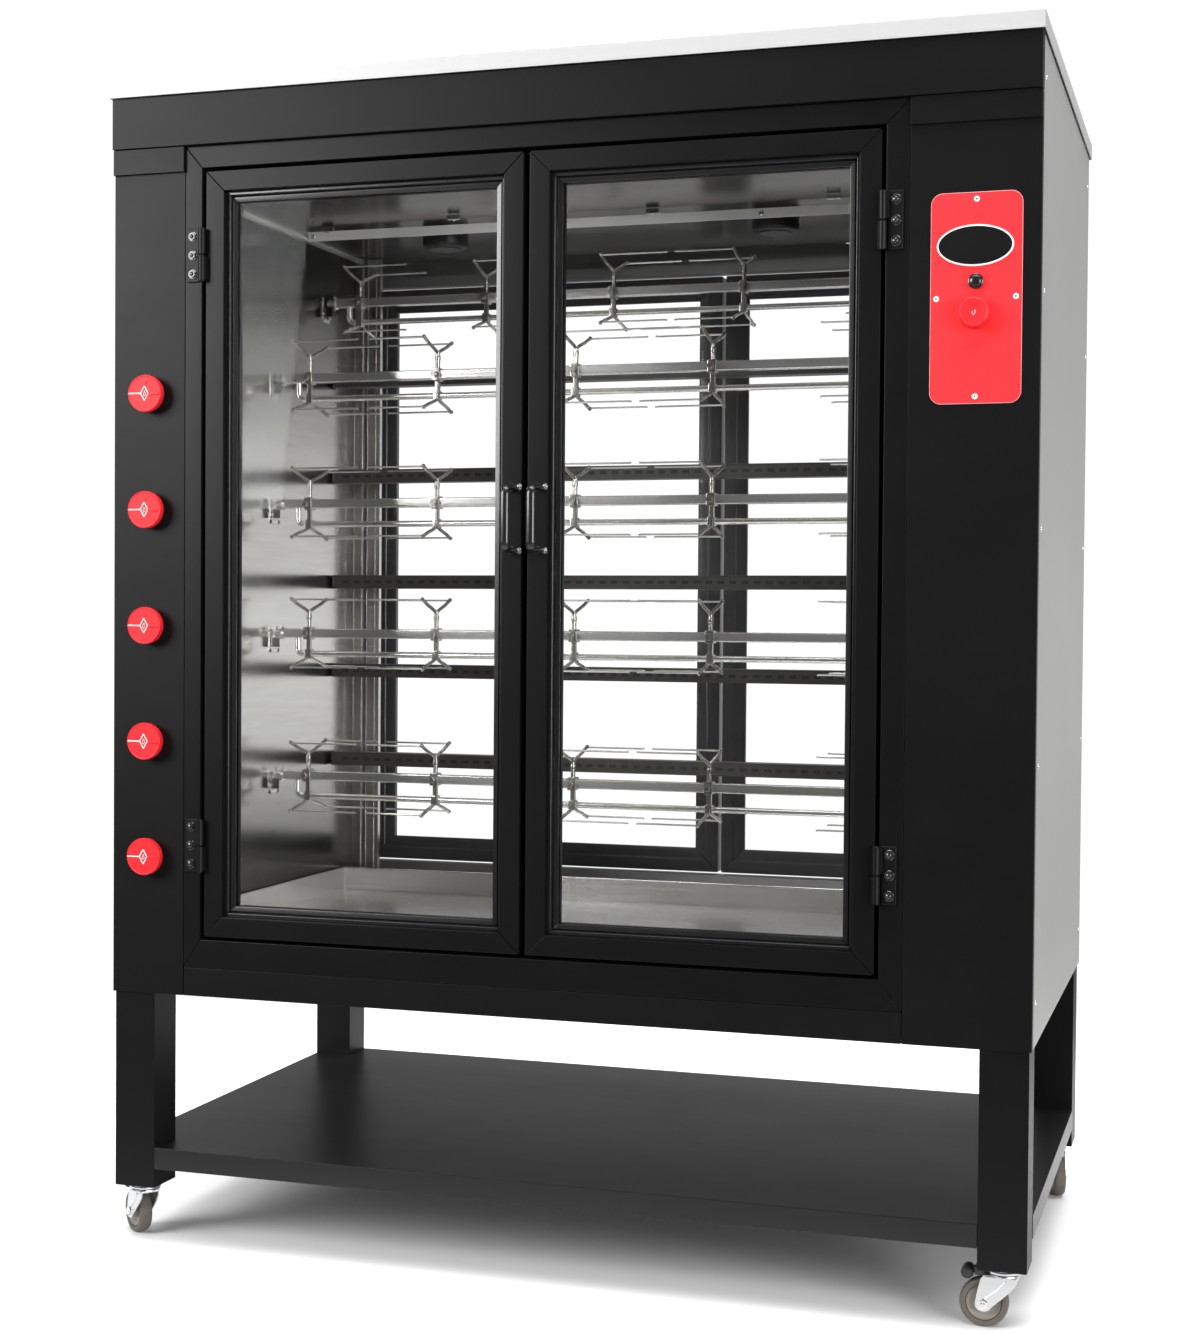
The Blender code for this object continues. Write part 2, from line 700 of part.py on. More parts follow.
def makeManifold():
    material = makeMaterial("manifold_brass", (0.55, 0.42, 0.18, 1), 0.35, 1.0)
    y = frontY + 0.058
    low, high = knobHeights[0] - 0.06, knobHeights[-1] + 0.05
    manifold = solid("gas_manifold", rod((knobX, y, low), (knobX, y, high), 0.011, 16), material)
    valves = [box((knobX - 0.015, y - 0.022, z - 0.018), (knobX + 0.015, y + 0.015, z + 0.018)) for z in knobHeights]
    outlets = [rod((knobX, y, z), (knobX + 0.028, y, z), 0.006, 12) for z in knobHeights]
    join(manifold, *valves, *outlets)


# ---- spits --------------------------------------------------------------

def forkOutline():
    # one quarter of an upright fork plate, mirrored left to right for each half
    top = [(0.012, 0.013), (0.0035, 0.017), (0.0035, 0.031), (forkSpread + 0.003, forkRise - 0.004),
           (forkSpread - 0.001, forkRise + 0.002), (0, 0.039)]
    foot = -twinDrop - 0.009
    bottom = [(0, foot - 0.009), (forkSpread - 0.001, -forkRise - 0.002), (forkSpread + 0.003, -forkRise + 0.003),
              (0.009, foot)]
    left = [(-y, z) for y, z in reversed(top[:-1])] + [(-y, z) for y, z in reversed(bottom[1:])]
    return top + left + bottom


def forkPlate():
    # the plate's mesh, standing across the X axis
    turn = (math.radians(90), 0, math.radians(90))
    plate = outlinePlate("fork_plate", forkOutline(), 0.007, None, (0, 0, 0), turn)
    mesh = plate.data
    mesh.transform(plate.matrix_world)
    bpy.data.objects.remove(plate)
    return mesh


def forkAt(plate, x, y, z, direction):
    def add(bm):
        copy = plate.copy()
        copy.transform(Matrix.Translation((x, y, z)))
        bm.from_mesh(copy)
        bpy.data.meshes.remove(copy)
        h = prongSize / 2
        x0, x1 = sorted((x - direction * 0.002, x + direction * prongLength))
        for up in (-1, 1):
            for side in (-1, 1):
                tipY, tipZ = y + side * forkSpread, z + up * forkRise
                box((x0, tipY - h, tipZ - h), (x1, tipY + h, tipZ + h))(bm)
    return add


def makeSpit(index, z, depth, plate, places):
    y = frontY + depth
    material = makeMaterial(f"spit_steel_{index}", (0.66, 0.65, 0.63, 1), 0.22, 1.0)
    left, right = cavityLeft + 0.022, cavityRight - 0.022
    h = spitBar / 2
    spit = solid(f"spit_{index}", box((left, y - h, z - h), (right, y + h, z + h)), material, (left, y, z))
    t = twinBar / 2
    twin = box((left + 0.03, y - t, z - twinDrop - t), (right - 0.03, y + t, z - twinDrop + t))
    ends = [rod((left - 0.019, y, z), (left + 0.01, y, z), journalRadius, 12),
            rod((right - 0.01, y, z), (cavityRight + 0.048, y, z), journalRadius, 12),
            rod((cavityRight + 0.026, y, z), (cavityRight + 0.032, y, z), sprocketRadius, 16)]
    forks = [forkAt(plate, x, y, z, direction) for x, direction in places]
    join(spit, twin, *ends, *forks)


# ---- drive and controls -------------------------------------------------

def makeMotor():
    material = makeMaterial("motor_grey", (0.12, 0.13, 0.14, 1), 0.5, 0.2)
    y, z = frontY + 0.130, 1.180
    x = cavityRight + 0.055
    motor = solid("gear_motor", box((x, y - 0.035, z - 0.045), (x + 0.075, y + 0.060, z + 0.045)), material)
    can = rod((x + 0.040, y + 0.05, z), (x + 0.040, y + 0.175, z), 0.034, 20)
    shaft = rod((x + 0.01, y, z), (x - 0.031, y, z), 0.008, 16)
    sprocket = rod((x - 0.029, y, z), (x - 0.023, y, z), 0.030, 20)
    join(motor, can, shaft, sprocket)


def makeControls():
    plateRed = makeMaterial("plate_red", red, 0.35, 0.0)
    turn = (math.radians(90), 0, 0)
    thickness = 0.002
    plate = outlinePlate("control_plate", roundedOutline(plateWidth, plateHeight, plateCorner), thickness,
                         plateRed, (plateX, frontY - gap - thickness / 2, plateZ), turn)
    holes = meshOf("plate_holes", [
        rod((plateX, frontY - 0.02, buttonZ), (plateX, frontY + 0.02, buttonZ), 0.0105, 16),
        rod((plateX, frontY - 0.02, controlKnobZ), (plateX, frontY + 0.02, controlKnobZ), 0.008, 12)], (0, 0, 0))
    tool = place("control_plate_holes", holes, None, (0, 0, 0), cutters)
    tool.hide_render = True
    tool.display_type = "WIRE"
    addBoolean(plate, [], "DIFFERENCE", tool)

    face = frontY - gap - thickness
    buttonBlack = makeMaterial("button_black", (0.015, 0.015, 0.015, 1), 0.4, 0.0)
    profile = [(0, 0.0085), (0.0088, 0.0085), (0.0098, 0.0070), (0.0098, -0.006), (0, -0.006)]
    turned("push_button", profile, buttonBlack, (plateX, face, buttonZ), (0, -1, 0), 20)
    knobProfile = [(0, 0.026), (0.0205, 0.026), (0.0228, 0.0235), (0.0230, 0.0015), (0.006, 0.0015),
                   (0.006, -0.024), (0, -0.024)]
    turned("control_knob", knobProfile, makeMaterial("control_knob_red", red, 0.35, 0.0),
           (plateX, face, controlKnobZ), (0, -1, 0), 20)


def makeGasKnobs():
    r = knobRadius
    profile = [(0, 0.024), (r - 0.003, 0.024), (r, 0.021), (r, 0.010), (r - 0.006, 0.0015), (0.005, 0.0015),
               (0.005, -0.032), (0, -0.032)]
    for i, z in enumerate(knobHeights):
        turned(f"gas_knob_{i + 1}", profile, makeMaterial(f"gas_knob_red_{i + 1}", red, 0.35, 0.0),
               (knobX, frontY, z), (0, -1, 0), 20)


# ---- build --------------------------------------------------------------

makeStand()
makeShelf()
for spotName, (spotSide, atFront, turnedBy) in casterSpots.items():
    makeCaster(spotName, spotSide, atFront, turnedBy)
makeFrontPanels()
makeSides()
makeRearPanel()
makeTopAndBase()
makeSurround()
makeFrontDoor("left", -1)
makeFrontDoor("right", 1)
makeRearDoor("left", -1)
makeRearDoor("right", 1)
makeCavityWalls()
makeTray()
makeRailAndLamps()
makeBurners()
makeManifold()
forkPlateMesh = forkPlate()
for number, (height, depth) in enumerate(zip(spitHeights, spitDepths)):
    clearOfLamps = topForkPlaces if number == 4 else forkPlaces
    makeSpit(number + 1, height, depth, forkPlateMesh, clearOfLamps)
makeMotor()
makeControls()
makeGasKnobs()
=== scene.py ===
# Looks of a floor-standing gas rotisserie oven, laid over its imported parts.
import json
import math

import bmesh
import bpy
from mathutils import Matrix, Vector

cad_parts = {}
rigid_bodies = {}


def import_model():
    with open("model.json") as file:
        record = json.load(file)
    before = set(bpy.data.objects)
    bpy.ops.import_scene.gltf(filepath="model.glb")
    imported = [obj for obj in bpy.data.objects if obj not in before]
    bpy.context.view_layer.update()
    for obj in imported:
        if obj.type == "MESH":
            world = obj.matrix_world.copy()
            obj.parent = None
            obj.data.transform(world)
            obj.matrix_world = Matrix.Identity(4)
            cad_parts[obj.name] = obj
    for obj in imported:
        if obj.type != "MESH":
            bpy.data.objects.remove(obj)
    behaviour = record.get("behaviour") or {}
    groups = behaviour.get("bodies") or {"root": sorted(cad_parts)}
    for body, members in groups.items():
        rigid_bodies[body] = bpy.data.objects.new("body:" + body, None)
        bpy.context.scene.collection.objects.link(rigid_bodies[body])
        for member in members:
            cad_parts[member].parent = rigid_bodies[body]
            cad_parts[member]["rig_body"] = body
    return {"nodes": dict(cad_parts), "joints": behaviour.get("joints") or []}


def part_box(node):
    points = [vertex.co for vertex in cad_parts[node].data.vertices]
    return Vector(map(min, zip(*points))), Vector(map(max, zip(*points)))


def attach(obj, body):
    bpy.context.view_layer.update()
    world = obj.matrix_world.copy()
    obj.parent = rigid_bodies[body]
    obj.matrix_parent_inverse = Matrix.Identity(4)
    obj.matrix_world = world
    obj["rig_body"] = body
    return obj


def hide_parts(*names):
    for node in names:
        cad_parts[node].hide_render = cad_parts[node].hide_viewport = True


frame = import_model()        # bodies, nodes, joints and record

nodes = frame["nodes"]
joints = {j["name"]: j for j in frame["joints"]}
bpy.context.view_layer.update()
print("frame loaded:", len(nodes), "nodes")


# the camera
view = {
    "place": (1.0874, -3.6263, 1.0753),
    "turn": 17.57,       # degrees left of straight at the doors
    "dip": -1.255,
    "roll": 0.431,
    "lens": 56.47,
}


def makeCamera():
    data = bpy.data.cameras.new("camera")
    data.lens = view["lens"]
    data.sensor_width = 36
    data.dof.use_dof = False
    data.clip_end = 60
    camera = bpy.data.objects.new("camera", data)
    turn = Matrix.Rotation(math.radians(view["turn"]), 4, "Z")
    dip = Matrix.Rotation(math.radians(90 + view["dip"]), 4, "X")
    roll = Matrix.Rotation(math.radians(view["roll"]), 4, "Z")
    camera.matrix_world = Matrix.Translation(view["place"]) @ turn @ dip @ roll
    bpy.context.scene.collection.objects.link(camera)
    bpy.context.scene.camera = camera


studio = {
    "floorTone": (0.93, 0.93, 0.93, 1),
    "floorFade": (1.35, 2.3),    # radii between which the floor gives way to the backdrop
    "backdrop": 1.08,    # what shows behind the oven
    "behind": 1.0,       # what the metal sees level with it, behind the oven
    "bandWidth": 0.14,
    "away": 0.33,        # above and below that band
    "front": 0.040,      # and in front of it
    "bounce": 0.85,      # off the floor well in front
    "keyBox": (235.0, (-3.3, -3.6, 2.65), (2.6, 2.4)),
    "fillBox": (370.0, (5.4, -4.3, 1.7), (3.6, 3.0)),
    "topBox": (560.0, (0.3, 0.3, 4.6), (5.5, 5.0)),
}


def makeStudio():
    scene = bpy.context.scene
    scene.view_settings.view_transform = "Standard"
    world = bpy.data.worlds.new("studio")
    world.use_nodes = True
    scene.world = world
    tree = world.node_tree
    tree.nodes.clear()
    ray = tree.nodes.new("ShaderNodeLightPath")
    look = tree.nodes.new("ShaderNodeTexCoord")
    split = tree.nodes.new("ShaderNodeSeparateXYZ")
    tree.links.new(look.outputs["Generated"], split.inputs[0])
    share = (Wire(split.outputs["Y"]) * 2.2 + 0.5).clamped()
    rise = Wire(split.outputs["Z"])
    band = (1 - abs(rise + 0.01) / studio["bandWidth"]).clamped() ** 0.8
    rear = band * (studio["behind"] - studio["away"]) + studio["away"]
    front = ((-0.34 - rise) * 4).clamped() * studio["bounce"] + studio["front"]
    seen = share * (rear - front) + front
    camera = Wire(ray.outputs["Is Camera Ray"])
    level = camera * studio["backdrop"] + (1 - camera) * seen
    ground = tree.nodes.new("ShaderNodeBackground")
    ground.inputs["Color"].default_value = shade(1, 1, 1)
    tree.links.new(level.socket, ground.inputs["Strength"])
    out = tree.nodes.new("ShaderNodeOutputWorld")
    tree.links.new(ground.outputs[0], out.inputs["Surface"])
    for name in ("keyBox", "fillBox", "topBox"):
        power, place, size = studio[name]
        data = bpy.data.lights.new(name, "AREA")
        data.shape = "RECTANGLE"
        data.size, data.size_y = size
        data.energy = power
        lamp = bpy.data.objects.new(name, data)
        aim = Vector((0, 0, 1.1)) - Vector(place)
        lamp.matrix_world = Matrix.Translation(place) @ aim.to_track_quat("-Z", "Y").to_matrix().to_4x4()
        scene.collection.objects.link(lamp)


def makeFloor():
    bm = bmesh.new()
    bmesh.ops.create_grid(bm, x_segments=8, y_segments=8, size=studio["floorFade"][1])
    mesh = bpy.data.meshes.new("floor")
    bm.to_mesh(mesh)
    bm.free()
    paint = Finish("floor_paint")
    cloud = paint.noise(2.0, 3)
    paint.put("Base Color", paint.mixed(cloud, studio["floorTone"], shade(0.88, 0.88, 0.88)))
    paint.put("Roughness", 0.9)
    # out from the oven the floor gives way to the backdrop
    near, far = studio["floorFade"]
    x, y = paint.axis("X"), (paint.axis("Y") - 0.55) * 1.15
    fade = (((x * x + y * y) ** 0.5 - near) / (far - near)).clamped()
    clear = paint.node("ShaderNodeBsdfTransparent", None, {"Color": shade(1, 1, 1)})
    paint.surfaced(fade, Wire(paint.shader.outputs[0]), clear)
    mesh.materials.append(paint.material)
    floor = bpy.data.objects.new("floor", mesh)
    bpy.context.scene.collection.objects.link(floor)


def plug(slot, value):
    if isinstance(value, Wire):
        slot.id_data.links.new(value.socket, slot)
    else:
        slot.default_value = value


class Wire:
    # a socket, so that sums on it read as sums
    def __init__(self, socket):
        self.socket = socket

    def maths(self, operation, *values, clamp=False):
        node = self.socket.id_data.nodes.new("ShaderNodeMath")
        node.operation = operation
        node.use_clamp = clamp
        for slot, value in zip(node.inputs, values):
            plug(slot, value)
        return Wire(node.outputs[0])

    def __add__(self, other):
        return self.maths("ADD", self, other)

    def __radd__(self, other):
        return self.maths("ADD", other, self)

    def __sub__(self, other):
        return self.maths("SUBTRACT", self, other)

    def __rsub__(self, other):
        return self.maths("SUBTRACT", other, self)

    def __mul__(self, other):
        return self.maths("MULTIPLY", self, other)

    def __rmul__(self, other):
        return self.maths("MULTIPLY", other, self)

    def __truediv__(self, other):
        return self.maths("DIVIDE", self, other)

    def __pow__(self, other):
        return self.maths("POWER", self, other)

    def __abs__(self):
        return self.maths("ABSOLUTE", self)

    def clamped(self):
        return self.maths("ADD", self, 0.0, clamp=True)

    def under(self, edge, soft):
        # 1 below the edge, 0 above it
        return self.maths("MULTIPLY", edge + soft / 2 - self, 1 / soft, clamp=True)


class Finish:
    # one procedural material
    def __init__(self, name):
        self.name = name
        self.material = bpy.data.materials.new(name)
        self.material.use_nodes = True
        self.tree = self.material.node_tree
        self.shader = self.tree.nodes["Principled BSDF"]
        self.place = self.node("ShaderNodeTexCoord", out="Object")

    def node(self, kind, settings=None, values=None, out=0):
        made = self.tree.nodes.new(kind)
        for key, value in (settings or {}).items():
            setattr(made, key, value)
        for key, value in (values or {}).items():
            plug(made.inputs[key], value)
        return Wire(made.outputs[out])

    def put(self, name, value):
        plug(self.shader.inputs[name], value)
        return self

    def stretched(self, scale):
        return self.node("ShaderNodeMapping", None, {"Vector": self.place, "Scale": scale})

    def noise(self, scale, detail=2.0, stretch=None, rough=0.5):
        place = self.stretched(stretch) if stretch else self.place
        return self.node("ShaderNodeTexNoise", None,
                         {"Vector": place, "Scale": scale, "Detail": detail, "Roughness": rough})

    def mixed(self, share, first, second):
        return self.node("ShaderNodeMix", {"data_type": "RGBA"}, {0: share, 6: first, 7: second}, out=2)

    def axis(self, name):
        return self.node("ShaderNodeSeparateXYZ", None, {0: self.place}, out="XYZ".index(name))

    def bumped(self, height, depth, strength=1.0):
        # depth is the height's real size in metres
        self.put("Normal", self.node("ShaderNodeBump", None,
                                     {"Height": height, "Distance": depth, "Strength": strength}))
        return self

    def surfaced(self, share, first, second):
        # two shaders mixed into the surface
        both = self.node("ShaderNodeMixShader", None, {0: share, 1: first, 2: second})
        out = next(n for n in self.tree.nodes if n.type == "OUTPUT_MATERIAL")
        plug(out.inputs["Surface"], both)
        return self


def shade(r, g, b):
    return (r, g, b, 1.0)


coats = {
    "powderTone": shade(0.0034, 0.0034, 0.0038),
    "powderLight": shade(0.0054, 0.0054, 0.0060),
    "powderRough": 0.42,
    "doorRough": 0.36,
    "shelfRough": 0.37,
    "powderGlance": 0.16,
    "shelfGlance": 0.50,
}


def powderCoat(name, rough, grain=0.00006, glance=coats["powderGlance"]):
    # fine orange peel, with faint handling marks in the gloss
    paint = Finish(name)
    fine = paint.noise(950, 2)
    patch = paint.noise(5.5, 4, rough=0.6)
    rub = paint.noise(26, 3, stretch=(0.4, 1, 1.8))
    paint.put("Base Color", paint.mixed(patch * 0.6 + fine * 0.4, coats["powderTone"],
                                        coats["powderLight"]))
    paint.put("Roughness", rough - 0.05 + patch * 0.06 + rub * 0.05)
    paint.put("Specular IOR Level", glance)
    return paint.bumped(fine + patch * 0.5, grain, 0.55)


def brushedSteel(name, tone, light, rough, lay, lines=620, depth=0.00002, metal=1.0):
    # lay is the axis along which the brush marks run
    skin = Finish(name)
    stretch = [1.0, 1.0, 1.0]
    stretch["XYZ".index(lay)] = 0.012
    line = skin.noise(lines, 3, stretch=stretch, rough=0.7)
    broad = skin.noise(lines / 9, 3, stretch=stretch)
    cloud = skin.noise(2.3, 3)
    skin.put("Base Color", skin.mixed((line * 0.5 + broad * 0.3 + cloud * 0.35 - 0.08).clamped(), tone,
                                      light))
    skin.put("Metallic", metal)
    skin.put("Roughness", rough + line * 0.12 + broad * 0.05 - 0.08)
    return skin.bumped(line + broad * 0.4, depth, 0.5)


def polishedSteel(name, tone, light, rough, wave=0.0016, shaded_ends=False):
    # thin bright sheet, a little wavy, with wiped streaks, and optional painted shade towards the
    # chamber's top and foot
    skin = Finish(name)
    streak = skin.noise(14, 4, stretch=(0.35, 0.35, 6.0), rough=0.62)
    smear = skin.noise(3.2, 5, stretch=(0.5, 0.5, 2.2), rough=0.66)
    fine = skin.noise(420, 2, stretch=(0.02, 0.02, 1.0))
    colour = skin.mixed((streak * 0.5 + smear * 0.9 - 0.25).clamped(), tone, light)
    if shaded_ends:
        # painted shade: darker towards the top and the foot of the chamber, where less light reaches
        z = skin.axis("Z")
        unshaded = z.under(1.56, 0.36) * (1 - z.under(0.70, 0.26))
        colour = skin.mixed(unshaded, shade(0.085, 0.080, 0.072), colour)
    skin.put("Base Color", colour)
    skin.put("Metallic", 1.0)
    skin.put("Roughness", rough + streak * 0.10 + smear * 0.08 + fine * 0.04 - 0.09)
    dent = skin.noise(5.0, 2, stretch=(0.6, 0.6, 1.6))
    return skin.bumped(dent + fine * 0.004, wave, 0.8)


def clearGlass(name):
    # lets what is behind through and mirrors more at a slant
    pane = Finish(name)
    pane.put("Base Color", shade(0.9, 0.93, 0.92))
    pane.put("Metallic", 1.0)
    smudge = pane.noise(7, 4, stretch=(1, 1, 0.5), rough=0.7)
    pane.put("Roughness", 0.015 + smudge * 0.03)
    slant = pane.node("ShaderNodeFresnel", None, {"IOR": 1.45})
    share = slant * (0.07 + smudge * 0.05)
    through = pane.node("ShaderNodeBsdfTransparent", None, {"Color": shade(0.996, 0.998, 0.997)})
    return pane.surfaced(share, through, Wire(pane.shader.outputs[0]))


def moulded(name, tone, light, rough, coat=0.0, grain=0.00004, scale=700, glance=0.5):
    # plastic or enamel with a little flow and grain
    skin = Finish(name)
    flow = skin.noise(38, 3, rough=0.6)
    fine = skin.noise(scale, 2)
    skin.put("Base Color", skin.mixed(flow * 0.7 + fine * 0.3, tone, light))
    skin.put("Roughness", rough + flow * 0.07 + fine * 0.04 - 0.055)
    skin.put("Specular IOR Level", glance)
    skin.put("Coat Weight", coat)
    skin.put("Coat Roughness", 0.12)
    return skin.bumped(fine + flow * 0.3, grain, 0.5)


def coverSteel(name):
    # satin sheet, with painted shade on the turned-down end
    skin = Finish(name)
    flow = skin.noise(38, 3, rough=0.6)
    fine = skin.noise(500, 2, stretch=(0.02, 1, 1))
    top = skin.mixed(flow * 0.6 + fine * 0.4, shade(0.45, 0.45, 0.45), shade(0.51, 0.51, 0.51))
    # painted shade: the end face gets a darker grey than the top
    end = skin.axis("X").under(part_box("top_cover")[1].x - 0.0012, 0.001)
    skin.put("Base Color", skin.mixed(end, shade(0.36, 0.36, 0.36), top))
    skin.put("Roughness", 0.34 + fine * 0.08)
    return skin.bumped(fine, 0.00003, 0.5)


def makeFinishes():
    made = [
        powderCoat("black_coat", coats["powderRough"]),
        powderCoat("door_black", coats["doorRough"]),
        powderCoat("shelf_black", coats["shelfRough"], 0.00010, coats["shelfGlance"]),
        coverSteel("cover_bright"),
        brushedSteel("side_steel", shade(0.42, 0.42, 0.415), shade(0.54, 0.54, 0.535), 0.52, "Z"),
        # chamber walls, with painted shade darkening their top and foot
        polishedSteel("cavity_steel", shade(0.50, 0.485, 0.46), shade(0.78, 0.77, 0.75), 0.155, 0.0005,
                      shaded_ends=True),
        # painted shade: the ceiling gets a darker copy of the chamber steel
        polishedSteel("ceiling_steel", shade(0.20, 0.19, 0.175), shade(0.46, 0.45, 0.43), 0.20, 0.0020),
        brushedSteel("tray_steel", shade(0.66, 0.65, 0.63), shade(0.92, 0.91, 0.89), 0.22, "X", 300,
                     metal=0.88),
        moulded("rail_bright", shade(0.72, 0.71, 0.69), shade(0.84, 0.83, 0.81), 0.30),
        brushedSteel("rail_steel", shade(0.62, 0.61, 0.59), shade(0.78, 0.77, 0.75), 0.24, "X"),
        brushedSteel("rod_steel", shade(0.66, 0.65, 0.63), shade(0.96, 0.95, 0.93), 0.20, "X", 300,
                     metal=0.80),
        brushedSteel("prong_steel", shade(0.60, 0.59, 0.57), shade(0.90, 0.89, 0.87), 0.24, "X", 300,
                     metal=0.7),
        brushedSteel("fork_steel", shade(0.26, 0.25, 0.23), shade(0.66, 0.64, 0.61), 0.24, "Z", 240,
                     metal=0.85),
        moulded("burner_black", shade(0.030, 0.029, 0.028), shade(0.085, 0.080, 0.075), 0.40,
                grain=0.00012, scale=420),
        moulded("lamp_black", shade(0.010, 0.010, 0.010), shade(0.022, 0.021, 0.020), 0.42),
        brushedSteel("gas_brass", shade(0.36, 0.25, 0.10), shade(0.58, 0.44, 0.20), 0.30, "Z"),
        moulded("motor_grey", shade(0.06, 0.06, 0.065), shade(0.10, 0.10, 0.105), 0.5),
        moulded("red_plate", shade(0.90, 0.022, 0.030), shade(0.96, 0.030, 0.038), 0.42),
        moulded("red_knob", shade(0.70, 0.014, 0.022), shade(0.82, 0.022, 0.030), 0.46, glance=0.25),
        moulded("black_gloss", shade(0.008, 0.008, 0.008), shade(0.014, 0.014, 0.015), 0.24, 0.3),
        moulded("black_matt", shade(0.012, 0.012, 0.012), shade(0.022, 0.021, 0.020), 0.55,
                grain=0.00012),
        moulded("white_mark", shade(0.80, 0.76, 0.75), shade(0.92, 0.90, 0.88), 0.5),
        brushedSteel("bolt_steel", shade(0.55, 0.55, 0.55), shade(0.85, 0.85, 0.84), 0.22, "Y", 900),
        brushedSteel("zinc", shade(0.50, 0.51, 0.53), shade(0.78, 0.78, 0.79), 0.30, "X", 150, 0.00005),
        moulded("tyre_rubber", shade(0.062, 0.052, 0.043), shade(0.115, 0.099, 0.082), 0.62,
                grain=0.00015, scale=260),
        moulded("hub_grey", shade(0.15, 0.135, 0.118), shade(0.24, 0.218, 0.195), 0.5),
        powderCoat("hinge_black", 0.42, 0.00004, 0.20),
        moulded("bolt_black", shade(0.014, 0.014, 0.015), shade(0.030, 0.030, 0.031), 0.20, 0.6),
        powderCoat("badge_black", 0.46),
        # painted highlight for the red plate's edge
        moulded("plate_edge_highlight", shade(0.62, 0.42, 0.42), shade(0.78, 0.60, 0.60), 0.38),
        polishedSteel("corner_bright", shade(0.74, 0.74, 0.72), shade(0.90, 0.90, 0.88), 0.20, 0.0002),
        moulded("rear_black", shade(0.045, 0.046, 0.048), shade(0.085, 0.086, 0.090), 0.30, 0.15),
        clearGlass("clear_glass"),
    ]
    return {paint.name: paint.material for paint in made}


def weighNormals(mesh, limit):
    # large faces set the shading, so that flats stay flat beside their rounded edges
    around = [[] for _ in mesh.vertices]
    for face in mesh.polygons:
        entry = (face.normal.copy(), face.area)
        for v in face.vertices:
            around[v].append(entry)
    corners = []
    for face in mesh.polygons:
        for v in face.vertices:
            total = Vector()
            for normal, area in around[v]:
                if normal.dot(face.normal) > limit:
                    total += normal * area
            corners.append(total.normalized())
    mesh.normals_split_custom_set(corners)


def finishPiece(name, bm, paint, body, replaced=(), angle=32):
    mesh = bpy.data.meshes.new(name)
    bm.to_mesh(mesh)
    bm.free()
    mesh.materials.append(finishes[paint])
    mesh.shade_smooth()
    mesh.set_sharp_from_angle(angle=math.radians(angle))
    if len(mesh.polygons) < 30000:
        weighNormals(mesh, math.cos(math.radians(angle + 4)))
    piece = bpy.data.objects.new(name, mesh)
    bpy.context.scene.collection.objects.link(piece)
    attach(piece, body)
    if replaced:
        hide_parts(*replaced)


def softened(node, paint, width):
    # a copy of a node with its edges rounded, in place of the node
    bm = bmesh.new()
    bm.from_mesh(nodes[node].data)
    bmesh.ops.remove_doubles(bm, verts=bm.verts, dist=0.00002)
    bmesh.ops.dissolve_limit(bm, angle_limit=math.radians(1), verts=bm.verts, edges=bm.edges)
    roundOff(bm, width)
    finishPiece(node + "_finished", bm, paint, nodes[node]["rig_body"], [node])


def roundOff(bm, width, segments=2, angle=30, edges=None):
    limit = math.radians(angle)
    sharp = [e for e in (edges or bm.edges) if len(e.link_faces) == 2 and e.calc_face_angle(0) > limit]
    bmesh.ops.bevel(bm, geom=sharp, offset=width, affect="EDGES", segments=segments, profile=0.5,
                    material=-1, clamp_overlap=True)


def addBlock(bm, low, high, width=0.0, segments=2):
    # a block between two corners with rounded edges
    low, high = Vector(low), Vector(high)
    scale = Matrix.Diagonal((*(high - low), 1))
    made = bmesh.ops.create_cube(bm, size=1, matrix=Matrix.Translation((low + high) / 2) @ scale)
    if width:
        edges = {e for v in made["verts"] for e in v.link_edges}
        roundOff(bm, width, segments, 30, edges)


def addRod(bm, start, end, radius, sides=20, endRadius=None):
    a, b = Vector(start), Vector(end)
    turn = (b - a).to_track_quat("Z", "Y").to_matrix().to_4x4()
    tip = radius if endRadius is None else endRadius
    return bmesh.ops.create_cone(bm, cap_ends=True, segments=sides, radius1=radius, radius2=tip,
                                 depth=(b - a).length, matrix=Matrix.Translation((a + b) / 2) @ turn)


def addTurned(bm, profile, place, direction, sides=32):
    # profile holds (radius, height) pairs from the axis, down the outside and back to the axis
    verts = [bm.verts.new((r, 0, h)) for r, h in profile]
    edges = [bm.edges.new(pair) for pair in zip(verts, verts[1:])]
    spun = bmesh.ops.spin(bm, geom=verts + edges, cent=(0, 0, 0), axis=(0, 0, 1), dvec=(0, 0, 0),
                          angle=math.tau, steps=sides, use_merge=True)
    ends = {g for g in spun["geom_last"] + verts if isinstance(g, bmesh.types.BMVert) and g.is_valid}
    found = connected(ends)
    bmesh.ops.remove_doubles(bm, verts=list(found), dist=0.00001)
    found = [v for v in found if v.is_valid]
    faces = list({f for v in found for f in v.link_faces})
    bmesh.ops.recalc_face_normals(bm, faces=faces)
    turn = Vector(direction).to_track_quat("Z", "Y").to_matrix().to_4x4()
    bmesh.ops.transform(bm, matrix=Matrix.Translation(place) @ turn, verts=found)


def connected(start):
    found, front = set(start), list(start)
    while front:
        vert = front.pop()
        for edge in vert.link_edges:
            other = edge.other_vert(vert)
            if other not in found:
                found.add(other)
                front.append(other)
    return found


